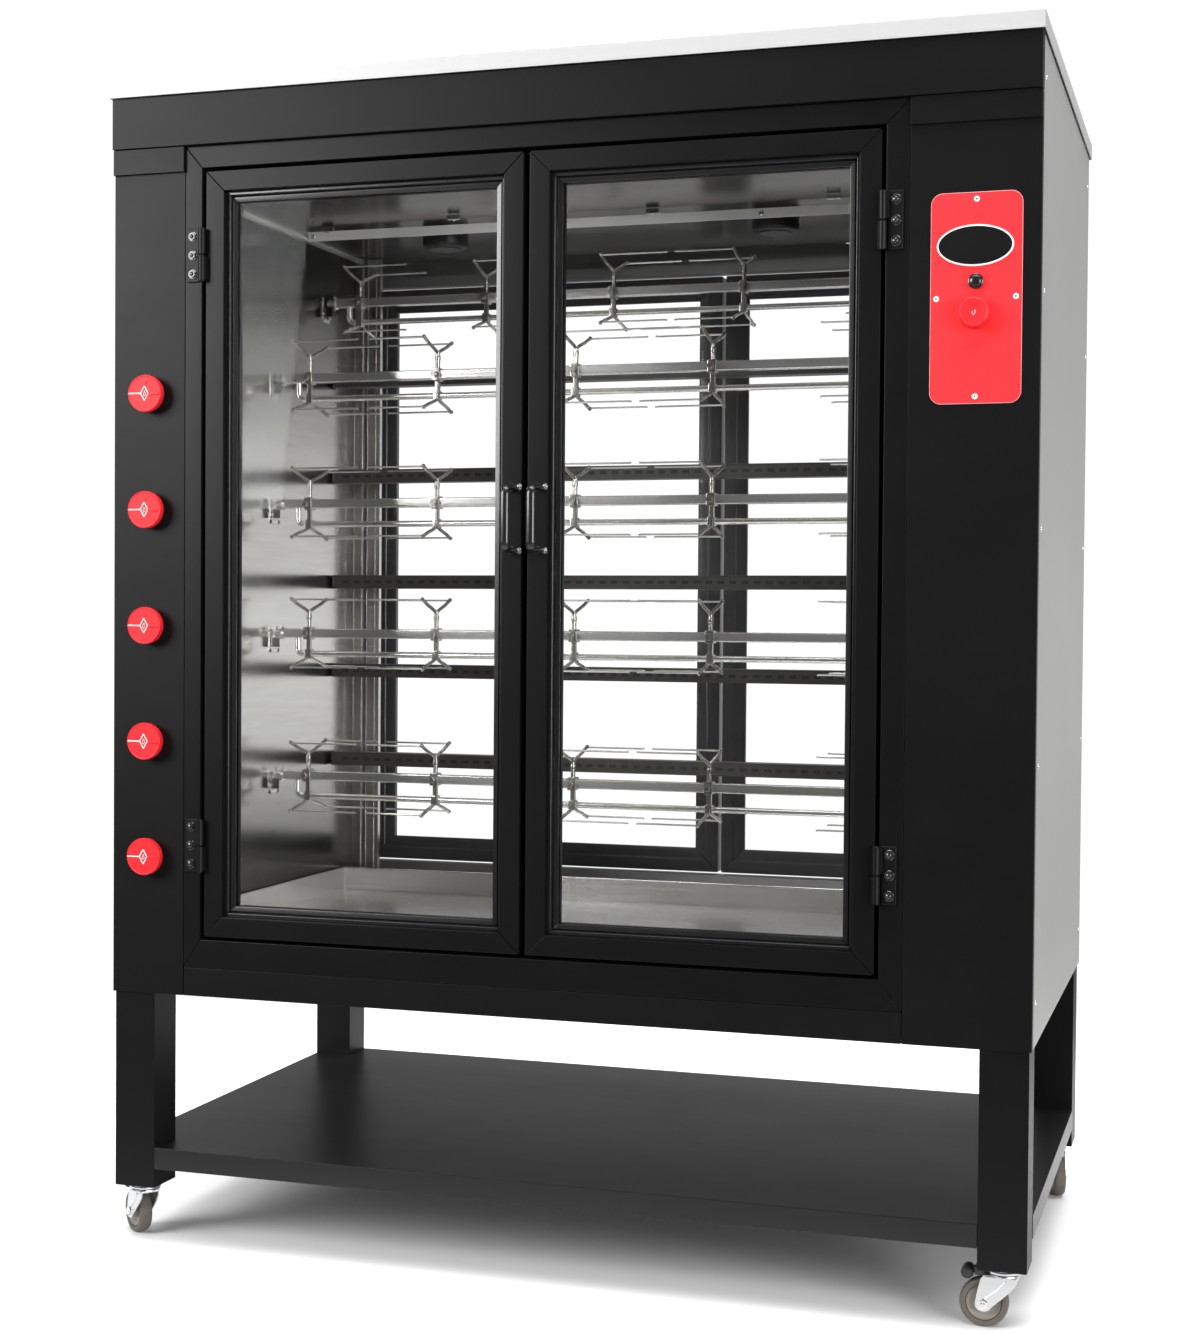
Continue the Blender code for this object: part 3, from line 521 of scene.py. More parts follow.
def addBar(bm, points, radius, sides=10, flat=1.0):
    # a rod bent through the points, with flat ends
    rings, faces = [], []
    for i, point in enumerate(points):
        before = Vector(points[max(0, i - 1)])
        after = Vector(points[min(len(points) - 1, i + 1)])
        turn = (after - before).to_track_quat("Z", "Y").to_matrix().to_4x4()
        squeeze = Matrix.Diagonal((1, flat, 1, 1))
        made = bmesh.ops.create_circle(bm, cap_ends=i in (0, len(points) - 1), segments=sides,
                                       radius=radius, matrix=Matrix.Translation(point) @ turn @ squeeze)
        rings.append(made["verts"])
    for one, two in zip(rings, rings[1:]):
        edges = [e for ring in (one, two) for e in ringEdges(ring)]
        faces += bmesh.ops.bridge_loops(bm, edges=edges)["faces"]
    ends = {f for ring in (rings[0], rings[-1]) for v in ring for f in v.link_faces}
    bmesh.ops.recalc_face_normals(bm, faces=list(ends | set(faces)))


def ringEdges(ring):
    inside = set(ring)
    return list({e for v in ring for e in v.link_edges if e.other_vert(v) in inside})


print("helpers ready")


makeCamera()
finishes = makeFinishes()
makeStudio()
makeFloor()
print("studio and finishes ready")


# body and stand
bodyWork = {
    # node: paint and how far its edges are rounded
    "stand_frame": ("black_coat", 0.0022),
    "lower_shelf": ("shelf_black", 0.0010),
    "header_fascia": ("black_coat", 0.0010),
    "top_cover": ("cover_bright", 0.0010),
    "left_front_panel": ("black_coat", 0.0008),
    "right_front_panel": ("black_coat", 0.0008),
    "lower_front_strip": ("black_coat", 0.0010),
    "left_side_panel": ("side_steel", 0.0007),
    "right_side_panel": ("side_steel", 0.0007),
    "base_pan": ("black_coat", 0.0006),
    "drip_tray": ("tray_steel", 0.0006),
    "gear_motor": ("motor_grey", 0.0020),
    "gas_manifold": ("gas_brass", 0.0012),
}
plainNodes = {
    "rear_panel": "side_steel",
    "left_cavity_wall": "cavity_steel",
    "right_cavity_wall": "cavity_steel",
    "cavity_ceiling": "ceiling_steel",
    "door_glass_left": "clear_glass",
    "door_glass_right": "clear_glass",
    "rear_glass_left": "clear_glass",
    "rear_glass_right": "clear_glass",
}


def dressBody():
    for node, (paint, width) in bodyWork.items():
        softened(node, paint, width)
    for node, paint in plainNodes.items():
        mesh = nodes[node].data
        mesh.materials.clear()
        mesh.materials.append(finishes[paint])


def screwHead(bm, place, direction, radius, proud):
    # a low domed head with a recess
    profile = [(0, proud * 0.55), (radius * 0.30, proud * 0.55), (radius * 0.34, proud),
               (radius * 0.62, proud * 0.96), (radius * 0.90, proud * 0.55), (radius, 0),
               (radius, -0.001), (0, -0.001)]
    addTurned(bm, profile, Vector(place), Vector(direction), 20)


sheetScrews = {
    "heights": (0.50, 0.86, 1.22, 1.58, 1.90),
    "inset": 0.030,
    "across": (-0.74, -0.37, 0.0, 0.37, 0.74),
    "rearHeights": (0.46, 1.90),
    "radius": 0.0042,
    "proud": 0.0014,
    "rearSink": 0.0072,    # how far the rear sheet lies in from its hinge leaves
}


def makeBodyScrews():
    # rows of small screws that hold the side and rear sheets
    right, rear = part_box("right_side_panel"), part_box("rear_panel")
    radius, proud, inset = sheetScrews["radius"], sheetScrews["proud"], sheetScrews["inset"]
    bm = bmesh.new()
    for side in (-1, 1):
        for z in sheetScrews["heights"]:
            for y in (right[0].y + inset, right[1].y - inset):
                screwHead(bm, (right[1].x * side, y, z), (side, 0, 0), radius, proud)
    for x in sheetScrews["across"]:
        for z in sheetScrews["rearHeights"]:
            screwHead(bm, (x, rear[1].y - sheetScrews["rearSink"], z), (0, 1, 0), radius, proud)
    finishPiece("sheet_screws", bm, "bolt_steel", "oven")


vents = {
    "across": (-0.60, -0.20, 0.20, 0.60),
    "lowest": 1.815,
    "rows": 4,
    "pitch": 0.016,
    "halfWidth": 0.085,
    "height": 0.008,
    "proud": 0.0028,
}


def makeVents():
    # pressed louvres high in the rear sheet
    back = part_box("left_side_panel")[1].y
    half, top = vents["halfWidth"], vents["height"]
    bm = bmesh.new()
    for x in vents["across"]:
        for row in range(vents["rows"]):
            z = vents["lowest"] + row * vents["pitch"]
            addBlock(bm, (x - half, back - 0.0012, z), (x + half, back + vents["proud"], z + top),
                     0.0018, 3)
    finishPiece("rear_louvres", bm, "side_steel", "oven")


frames = {
    "mitre": 0.00035,     # half of the gap left at a mitre
    "edge": 0.0014,
    "beadEdge": 0.0009,
}


def addMitredFrame(bm, outer, inner, section, edge):
    # outer and inner are (x0, x1, z0, z1); a section point is (share of the way in, extra inset, y)
    def corners(share, inset):
        x0, x1, z0, z1 = (a + (b - a) * share for a, b in zip(outer, inner))
        return [Vector((x, 0, z)) for x, z in ((x0 + inset, z0 + inset), (x1 - inset, z0 + inset),
                                               (x1 - inset, z1 - inset), (x0 + inset, z1 - inset))]
    rings = [(corners(share, inset), y) for share, inset, y in section]
    for side in range(4):
        new = []
        for ring, y in rings:
            a, b = ring[side], ring[(side + 1) % 4]
            along = (b - a).normalized() * frames["mitre"]
            deep = Vector((0, y, 0))
            new.append((bm.verts.new(a + along + deep), bm.verts.new(b - along + deep)))
        near, far = bm.faces.new([v[0] for v in new]), bm.faces.new([v[1] for v in reversed(new)])
        walls = [bm.faces.new((p[0], p[1], q[1], q[0])) for p, q in zip(new, new[1:] + new[:1])]
        bmesh.ops.recalc_face_normals(bm, faces=[near, far, *walls])
        roundOff(bm, edge, 2, 30, {e for f in (near, far, *walls) for e in f.edges})


doors = {
    "member": 0.034,
    "seat": 0.004,         # how far a pane sits into its frame
    "lip": 0.018,
    "lipDepth": 0.012,
    "thickness": 0.036,
    "glassFront": 0.0195,
}
rearDoors = {
    "member": 0.038,
    "seat": 0.007,
    "thickness": 0.034,
    "gap": 0.0015,
    "pullIn": 0.021,
    "pull": (1.192, 1.288),
}


def shrunk(rect, inset):
    return rect[0] + inset, rect[1] - inset, rect[2] + inset, rect[3] - inset


def glassRect(node, sizes):
    # a door's outer rectangle, worked back from its pane
    reach = sizes["member"] + sizes["seat"]
    low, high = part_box(node)
    return low.x - reach, high.x + reach, low.z - reach, high.z + reach


def makeFrontDoor(word):
    body, lip = f"front_door_{word}", doors["lip"]
    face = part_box("lower_front_strip")[0].y
    outer = glassRect("door_glass_" + word, doors)
    inner = shrunk(outer, doors["member"])
    back, glass = face + doors["thickness"], face + doors["glassFront"]
    step = back - doors["lipDepth"]
    bm = bmesh.new()
    section = [(0, 0, face), (1, 0, face), (1, 0, step), (1, lip, step), (1, lip, back), (0, 0, back)]
    addMitredFrame(bm, outer, inner, section, frames["edge"])
    finishPiece(f"door_frame_{word}", bm, "door_black", body, [f"door_{word}"])
    # the rubber bead and the raised glazing stop in front of the pane
    bm = bmesh.new()
    bead = [(0, 0.0004, glass - 0.0085), (0, 0.0060, glass - 0.0085), (0, 0.0085, glass - 0.0004),
            (0, 0.0004, glass - 0.0004)]
    addMitredFrame(bm, inner, inner, bead, frames["beadEdge"])
    stop = [(0, 0.0092, glass - 0.0042), (0, lip - 0.0005, glass - 0.0030),
            (0, lip - 0.0005, glass - 0.0004), (0, 0.0092, glass - 0.0004)]
    addMitredFrame(bm, inner, inner, stop, 0.0007)
    finishPiece(f"glazing_bead_{word}", bm, "black_gloss", body)


def makeRearDoor(word):
    body = f"back_door_{word}"
    outer = glassRect("rear_glass_" + word, rearDoors)
    inner = shrunk(outer, rearDoors["member"])
    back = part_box("left_side_panel")[1].y - rearDoors["gap"]
    front = back - rearDoors["thickness"]
    step, pane = front + 0.012, front + 0.0128
    bm = bmesh.new()
    section = [(0, 0, front), (0.62, 0, front), (0.68, 0, front + 0.0022), (1, 0, front + 0.0022),
               (1, 0.009, front + 0.004), (1, 0.009, step), (1, 0, step), (1, 0, back), (0, 0, back)]
    addMitredFrame(bm, outer, inner, section, frames["edge"])
    # the pull at the meeting side
    low, high = rearDoors["pull"]
    x = outer[1] - rearDoors["pullIn"] if word == "left" else outer[0] + rearDoors["pullIn"]
    y = back + 0.0015
    foot = [(y - 0.003, 0), (y + 0.0045, 0.002), (y + 0.0085, 0.007)]
    points = [(x, deep, high - drop) for deep, drop in foot]
    points += [(x, deep, low + drop) for deep, drop in reversed(foot)]
    addBar(bm, points, 0.0042, 12)
    finishPiece(f"rear_door_frame_{word}", bm, "rear_black", body, [f"rear_door_{word}"])
    bm = bmesh.new()
    gasket = [(0, 0.0003, pane + 0.0045), (0, 0.0075, pane + 0.0045), (0, 0.0055, pane + 0.0100),
              (0, 0.0003, pane + 0.0115)]
    addMitredFrame(bm, inner, inner, gasket, 0.0008)
    finishPiece(f"rear_gasket_{word}", bm, "black_matt", body)


surround = {
    "joint": 0.0005,      # gap to the sheets around it
    "sideGap": 0.007,     # from the doors
    "endGap": 0.006,
    "rebate": 0.041,
    "stop": 0.022,
    "post": 0.020,        # half the width of the middle post
    "seal": 0.0022,
}


def makeSurround():
    strip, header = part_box("lower_front_strip"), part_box("header_fascia")
    face, back = strip[0].y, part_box("front_surround")[1].y
    joint, stop, post = surround["joint"], surround["stop"], surround["post"]
    outer = (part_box("left_front_panel")[1].x + joint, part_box("right_front_panel")[0].x - joint,
             strip[1].z + joint, header[0].z - joint)
    doorL, doorR = glassRect("door_glass_left", doors), glassRect("door_glass_right", doors)
    inner = (doorL[0] - surround["sideGap"], doorR[1] + surround["sideGap"],
             doorL[2] - surround["endGap"], doorL[3] + surround["endGap"])
    rebate = face + surround["rebate"]
    bm = bmesh.new()
    section = [(0, 0, face), (1, 0, face), (1, 0, rebate), (1, stop, rebate), (1, stop, back),
               (0, 0, back)]
    addMitredFrame(bm, outer, inner, section, frames["edge"])
    middle = (doorL[1] + doorR[0]) / 2
    addBlock(bm, (middle - post, rebate, inner[2] + stop), (middle + post, back, inner[3] - stop), 0.001)
    # soft seals down the stops, which the doors close on
    y, low, high = rebate - 0.0008, inner[2] + 0.004, inner[3] - 0.004
    for x in (inner[0] + 0.012, middle, inner[1] - 0.012):
        addBar(bm, [(x, y, low), (x, y, (low + high) / 2), (x, y, high)], surround["seal"], 8)
    finishPiece("door_surround", bm, "door_black", "oven", ["front_surround"])


hinges = {
    "radius": 0.0065,
    "proud": 0.0075,
    "height": 0.090,
    "leaf": 0.0034,        # its thickness
    "leafEnd": 0.0305,
    "bolts": (-0.0315, 0.0, 0.0315),
    "bolt": 0.0068,
    "boltOut": 0.0195,
    "frontCentres": (1.689, 0.690),
    "rearCentres": (1.620, 0.720),
}


def addFixedLeaf(bm, axis, side, face, out, z):
    half = hinges["height"] / 2
    x0, x1 = sorted((axis + side * 0.0075, axis + side * hinges["leafEnd"]))
    y0, y1 = sorted((face, face + out * hinges["leaf"]))
    addBlock(bm, (x0, y0, z - half), (x1, y1, z + half), 0.0012, 3)
    y = face + out * hinges["proud"]
    top, low = z + half, z + 0.0006
    addTurned(bm, knuckle(top - low), (axis, y, low), (0, 0, 1), 24)
    addRod(bm, (axis, y, low - 0.02), (axis, y, top - 0.002), 0.0028, 12)
    web = sorted((axis, axis + side * 0.009))
    depth = sorted((face + out * 0.0002, y + out * 0.0018))
    addBlock(bm, (web[0], depth[0], low + 0.002), (web[1], depth[1], top - 0.002), 0.0008)


def knuckle(length):
    r = hinges["radius"]
    return [(0, length), (r * 0.72, length), (r, length - 0.0014), (r, 0.0009), (r * 0.86, 0), (0, 0)]


def addDoorKnuckle(bm, axis, side, face, out, z):
    half = hinges["height"] / 2
    y = face + out * hinges["proud"]
    low, top = z - half, z - 0.0006
    addTurned(bm, knuckle(top - low), (axis, y, low), (0, 0, 1), 24)
    x0, x1 = sorted((axis, axis - side * 0.0075))
    y0, y1 = sorted((y + out * 0.0015, face - out * 0.004))
    addBlock(bm, (x0, y0, low + 0.0025), (x1, y1, top - 0.0025), 0.0008)


def addBolt(bm, place, out):
    # washer, low hexagon and domed crown
    face, way, radius = Vector(place), Vector((0, out, 0)), hinges["bolt"]
    washer = [(0, 0.0015), (radius * 1.10, 0.0015), (radius * 1.22, 0.0008), (radius * 1.22, 0), (0, 0)]
    addTurned(bm, washer, face, way, 28)
    bolt = addRod(bm, face + way * 0.0012, face + way * 0.0042, radius, 6)
    roundOff(bm, 0.0006, 2, 30, {e for v in bolt["verts"] for e in v.link_edges})
    crown = [(0, 0.0052), (radius * 0.32, 0.0050), (radius * 0.62, 0.0040), (radius * 0.62, 0.003),
             (0, 0.003)]
    addTurned(bm, crown, face, way, 20)


def makeHinges():
    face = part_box("lower_front_strip")[0].y
    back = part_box("left_side_panel")[1].y + 0.0005
    for place, door, y, out, centres in (("front", "front_door", face, -1, hinges["frontCentres"]),
                                         ("rear", "back_door", back, 1, hinges["rearCentres"])):
        leaves, bolts = bmesh.new(), bmesh.new()
        for word, side in (("left", -1), ("right", 1)):
            swing = joints[f"{door}_{word}_hinge"]
            axis = swing["pos_m"][0]
            knuckles = bmesh.new()
            for z in centres:
                addFixedLeaf(leaves, axis, side, y, out, z)
                addDoorKnuckle(knuckles, axis, side, y, out, z)
                for rise in hinges["bolts"]:
                    addBolt(bolts, (axis + side * hinges["boltOut"], y + out * hinges["leaf"], z + rise),
                            out)
            finishPiece(f"{place}_knuckles_{word}", knuckles, "hinge_black", swing["child"])
        finishPiece(f"{place}_hinge_leaves", leaves, "hinge_black", "oven")
        finishPiece(f"{place}_hinge_bolts", bolts, "bolt_black", "oven")


handles = {
    "width": 0.0075,      # half the grip's width
    "flat": 0.62,
    "footRadius": 0.0085,
    "span": 0.101,
    "height": 1.240,
    "proud": 0.0395,
    "boltAside": 0.0125,
}


def makeHandle(word):
    low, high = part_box("handle_" + word)
    x, face = (low.x + high.x) / 2, high.y + 0.0005
    reach, half, middle = handles["proud"], handles["span"] / 2, handles["height"]
    foot, y = handles["footRadius"], face - reach + 0.0052
    upper = [(x, face - 0.0008, middle + half)]
    upper += [(x, face - reach * share, middle + half - drop)
              for share, drop in ((0.25, 0), (0.55, 0.0003), (0.74, 0.0022))]
    upper += [(x, y + 0.0012, middle + half - 0.0062), (x, y, middle + half - 0.0125)]
    lower = [(px, py, 2 * middle - pz) for px, py, pz in reversed(upper)]
    bm = bmesh.new()
    addBar(bm, upper + [(x, y, middle)] + lower, handles["width"], 20, handles["flat"])
    for side in (-1, 1):
        addTurned(bm, [(0, 0.0030), (0.0078, 0.0030), (foot, 0.0018), (foot, 0), (0, 0)],
                  (x, face, middle + side * half), (0, -1, 0), 28)
    finishPiece(f"handle_grip_{word}", bm, "black_gloss", f"front_door_{word}", [f"handle_{word}"])
    bm = bmesh.new()
    head = [(0, 0.0036), (0.0018, 0.0034), (0.0030, 0.0022), (0.0034, 0.0004), (0.0034, -0.001),
            (0, -0.001)]
    washer = [(0, 0.0008), (0.0046, 0.0008), (0.0050, 0.0003), (0.0050, -0.0006), (0, -0.0006)]
    for side in (-1, 1):
        spot = (x + handles["boltAside"], face, middle + side * (half + 0.001))
        addTurned(bm, head, spot, (0, -1, 0), 20)
        addTurned(bm, washer, spot, (0, -1, 0), 20)
    finishPiece(f"handle_bolts_{word}", bm, "bolt_steel", f"front_door_{word}")


controls = {
    "plate": (0.684, 1.5665, 0.136, 0.316, 0.017),
    "badge": (0.6825, 1.645, 0.1155, 0.0630),
    "screws": ((0.684, 1.7145), (0.6245, 1.5665), (0.7435, 1.5665), (0.684, 1.4185)),
    "knobHeights": [0.669 + 0.197 * i for i in range(5)],
    "knobX": -0.710,
    "knobRadius": 0.0315,
}


def raiseFace(bm, face, rise, edge):
    # thickens a flat outline along Y and rounds its raised rim
    lifted = bmesh.ops.extrude_face_region(bm, geom=[face], use_keep_orig=True)
    top = [g for g in lifted["geom"] if isinstance(g, bmesh.types.BMVert)]
    bmesh.ops.translate(bm, verts=top, vec=(0, rise, 0))
    bmesh.ops.recalc_face_normals(bm, faces=list({f for v in top for f in v.link_faces} | {face}))
    if edge:
        roundOff(bm, edge, edges={e for v in top for e in v.link_edges if all(w in top for w in e.verts)})


def roundedSheet(bm, x, z, width, height, radius, front, back, edge):
    # a sheet facing -Y with rounded corners
    corners = [(x - width / 2, z - height / 2), (x + width / 2, z - height / 2),
               (x + width / 2, z + height / 2), (x - width / 2, z + height / 2)]
    verts = [bm.verts.new((a, back, b)) for a, b in corners]
    bm.faces.new(verts)
    bent = bmesh.ops.bevel(bm, geom=verts, offset=radius, affect="VERTICES", segments=10, profile=0.5,
                           material=-1)
    raiseFace(bm, bent["verts"][0].link_faces[0], front - back, edge)


def makeControlPlate():
    x, z, width, height, corner = controls["plate"]
    low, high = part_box("control_plate")
    front, back = low.y, high.y
    bm = bmesh.new()
    roundedSheet(bm, x, z, width, height, corner, front, back, 0.0006)
    finishPiece("control_plate_face", bm, "red_plate", "oven", ["control_plate"])
    # a pale pink rim round the plate's back: painted highlight along the plate's edge
    bm = bmesh.new()
    roundedSheet(bm, x, z, width + 0.0016, height + 0.0016, corner + 0.0008, back - 0.0006,
                 back + 0.0003, 0)
    finishPiece("control_plate_edge_highlight", bm, "plate_edge_highlight", "oven")
    bm = bmesh.new()
    for sx, sz in controls["screws"]:
        screwHead(bm, (sx, front, sz), (0, -1, 0), 0.0046, 0.0020)
    finishPiece("plate_screws", bm, "white_mark", "oven")
    # black hexagons in the screw recesses: painted shade in the sockets
    bm = bmesh.new()
    for sx, sz in controls["screws"]:
        addTurned(bm, [(0, 0.0014), (0.0013, 0.0014), (0.0013, 0.0008), (0, 0.0008)], (sx, front, sz),
                  (0, -1, 0), 6)
    finishPiece("plate_screw_socket_shade", bm, "black_gloss", "oven")
    makeBadge(front)
    makeButton(front)


def addOval(bm, x, z, width, height, front, back, edge):
    verts = bmesh.ops.create_circle(bm, cap_ends=True, segments=64, radius=0.5)["verts"]
    lay = Matrix.Translation((x, back, z)) @ Matrix.Rotation(math.radians(90), 4, "X")
    bmesh.ops.transform(bm, matrix=lay @ Matrix.Diagonal((width, height, 1, 1)), verts=verts)
    raiseFace(bm, verts[0].link_faces[0], front - back, edge)


def makeBadge(face):
    # a blank oval badge with a bright rim
    x, z, width, height = controls["badge"]
    bm = bmesh.new()
    addOval(bm, x, z, width, height, face - 0.0022, face, 0.0008)
    finishPiece("badge_rim", bm, "rail_bright", "oven")
    bm = bmesh.new()
    addOval(bm, x, z, width - 0.0056, height - 0.0056, face - 0.0025, face - 0.0015, 0.0003)
    finishPiece("badge_face", bm, "badge_black", "oven")


def makeButton(face):
    low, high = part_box("push_button")
    x, z = (low.x + high.x) / 2, (low.z + high.z) / 2
    bm = bmesh.new()
    outer = 0.0118
    bezel = [(outer - 0.0018, 0.0052), (outer - 0.0004, 0.0046), (outer, 0.0030), (outer, 0),
             (outer - 0.0018, 0), (outer - 0.0018, 0.0052)]
    addTurned(bm, bezel, (x, face, z), (0, -1, 0), 32)
    finishPiece("button_bezel", bm, "black_gloss", "oven")
    bm = bmesh.new()
    cap = [(0, 0.0088), (0.0040, 0.0086), (0.0074, 0.0078), (0.0090, 0.0066), (0.0096, 0.0048),
           (0.0096, -0.006), (0, -0.006)]
    addTurned(bm, cap, (x, face, z), (0, -1, 0), 32)
    finishPiece("button_cap", bm, "black_gloss", "button", ["push_button"])


def makeSelector():
    low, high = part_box("control_knob")
    x, z = (low.x + high.x) / 2, (low.z + high.z) / 2
    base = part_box("control_plate")[0].y
    bm = bmesh.new()
    profile = [(0, 0.0242), (0.0030, 0.0242), (0.0040, 0.0250), (0.0185, 0.0256), (0.0200, 0.0262),
               (0.0216, 0.0256), (0.0228, 0.0238), (0.0230, 0.0215), (0.0226, 0.0040), (0.0230, 0.0032),
               (0.0230, 0.0016), (0.0060, 0.0016), (0.0060, -0.020), (0, -0.020)]
    addTurned(bm, profile, (x, base, z), (0, -1, 0), 48)
    for turn in range(24):
        angle = math.tau * turn / 24
        cx, cz = x + 0.0229 * math.cos(angle), z + 0.0229 * math.sin(angle)
        addRod(bm, (cx, base - 0.006, cz), (cx, base - 0.0205, cz), 0.0004, 6)
    finishPiece("selector_knob", bm, "red_knob", "selector", ["control_knob"])
    bm = bmesh.new()
    mark = [(0.0016, 0.0030), (0.0030, -0.0010), (0.0, -0.0044), (-0.0030, -0.0010), (-0.0008, 0.0010)]
    addBar(bm, [(x + a, base - 0.0250, z + b) for a, b in mark], 0.00045, 6)
    finishPiece("selector_mark", bm, "white_mark", "selector")


def makeGasKnob(number, z):
    x, r = controls["knobX"], controls["knobRadius"]
    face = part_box("lower_front_strip")[0].y
    body = f"gas_valve_{number}"
    bm = bmesh.new()
    profile = [(0, 0.0222), (r - 0.0034, 0.0222), (r - 0.0028, 0.0229), (r - 0.0014, 0.0231),
               (r - 0.0004, 0.0223), (r, 0.0205), (r - 0.0006, 0.0125), (r - 0.0008, 0.0100),
               (r - 0.0058, 0.0030), (r - 0.0066, 0.0016), (0.0050, 0.0016), (0.0050, -0.030),
               (0, -0.030)]
    addTurned(bm, profile, (x, face, z), (0, -1, 0), 48)
    y = face - 0.0220
    addBlock(bm, (x + 0.0085, y - 0.0020, z - 0.0032), (x + r - 0.0036, y + 0.001, z + 0.0022), 0.0010, 3)
    addBar(bm, [(x + 0.0008, y, z + 0.0130), (x + 0.0020, y - 0.0004, z + 0.0158),
                (x + 0.0050, y, z + 0.0200)], 0.0009, 8)
    for turn in range(28):
        angle = math.tau * turn / 28
        cx, cz = x + (r - 0.0003) * math.cos(angle), z + (r - 0.0003) * math.sin(angle)
        addRod(bm, (cx, face - 0.0125, cz), (cx, face - 0.0200, cz), 0.0005, 6)
    finishPiece(f"gas_knob_body_{number}", bm, "red_knob", body, [f"gas_knob_{number}"])
    bm = bmesh.new()
    y -= 0.0004
    addBlock(bm, (x - r + 0.0008, y - 0.0006, z - 0.0010), (x - 0.0078, y + 0.0006, z + 0.0010), 0.0002)
    diamond = [(0, 0.0124), (0.0072, 0.0), (0, -0.0124), (-0.0072, 0.0), (0, 0.0124)]
    flame = [(0, -0.0048), (-0.0022, -0.0022), (-0.0010, 0.0008), (0.0002, 0.0042), (0.0016, 0.0006),
             (0.0022, -0.0024), (0, -0.0048)]
    for outline, thick in ((diamond, 0.0009), (flame, 0.0004)):
        for a, b in zip(outline, outline[1:]):
            addRod(bm, (x + a[0], y, z + a[1]), (x + b[0], y, z + b[1]), thick, 6)
    finishPiece(f"gas_knob_marks_{number}", bm, "white_mark", body)


# what hangs in the cooking chamber
spits = {
    "bar": 0.0170,
    "barEnds": (-0.628, 0.568),
    "twin": 0.0055,       # radius of the lower rod
    "twinDrop": 0.038,
    "twinEnd": 0.540,
    "journal": 0.5665,    # where the driven end's journal starts
    "wheel": (0.616, 0.0395, 20),
    "spread": 0.050,
    "rise": 0.063,
    "prong": 0.118,
    "rod": 0.0031,
    "thin": 0.0017,       # the prongs
    "leans": (0.012, 0.007, 0.010, 0.008, 0.012),
    "places": ((-0.578, 1), (-0.325, -1), (-0.062, 1), (0.188, -1), (0.505, -1)),
    "topPlaces": ((-0.578, 1), (-0.316, 1), (-0.062, 1), (0.188, -1), (0.505, -1)),
}


def spitAxis(number):
    return Vector(joints[f"rotisserie_{number}_spin"]["pos_m"])


def addFork(bm, prongs, clamp, x, y, z, way, lean):
    # an upright fork: a stem and two arms above the bar and two arms below, each holding a prong along it
    spread, rise, prong, rod = spits["spread"], spits["rise"], spits["prong"], spits["rod"]
    addBar(bm, [(x, y, z + 0.010), (x, y, z + 0.026), (x, y, z + 0.043)], rod * 1.35, 12)
    addTurned(bm, [(0, 0.0052), (rod * 1.5, 0.0040), (rod * 1.7, 0), (rod * 1.5, -0.0040), (0, -0.0052)],
              (x, y, z + 0.030), (0, 0, 1), 14)
    for up, split in ((1, 0.043), (-1, 0.047)):
        for side in (-1, 1):
            reach, out, climb = side * lean, side * spread, rise - split
            tip = (x + reach, y + out, z + up * rise)
            addBar(bm, [(x, y + side * 0.001, z + up * (split - 0.003)),
                        (x + reach * 0.30, y + out * 0.28, z + up * (split + climb * 0.16)),
                        (x + reach * 0.65, y + out * 0.64, z + up * (split + climb * 0.52)), tip], rod, 10)
            ball = bmesh.ops.create_icosphere(bm, subdivisions=2, radius=rod * 1.25)
            bmesh.ops.translate(bm, verts=ball["verts"], vec=tip)
            level = tip[2] - up * 0.0010
            addBar(prongs, [(tip[0] - way * 0.002, tip[1], level), (x + way * prong * 0.5, tip[1], level),
                            (x + way * (prong - 0.006), tip[1], level),
                            (x + way * prong, tip[1], level + up * 0.0006)], spits["thin"], 8)
    half = spits["bar"] / 2
    addBlock(clamp, (x - 0.0075, y - half - 0.003, z - half - 0.003),
             (x + 0.0075, y + half + 0.003, z + half + 0.003), 0.0014, 2)
    low = z - spits["twinDrop"]
    addBlock(clamp, (x - 0.0065, y - 0.0085, low - 0.0085),
             (x + 0.0065, y + 0.0085, low + 0.0085), 0.0018, 2)
    addBlock(clamp, (x - 0.0040, y - 0.0045, low), (x + 0.0040, y + 0.0045, z - half), 0.0010, 2)
    # thumb screw that grips the bar
    addRod(clamp, (x, y, z + half), (x, y, z + half + 0.009), 0.0030, 10)
    grip = [(0, 0.0050), (0.0046, 0.0050), (0.0056, 0.0040), (0.0056, 0.0012), (0.0046, 0), (0, 0)]
    addTurned(clamp, grip, (x, y - half - 0.0075, z), (0, -1, 0), 14)
    addRod(clamp, (x, y - half, z), (x, y - half - 0.0080, z), 0.0026, 10)


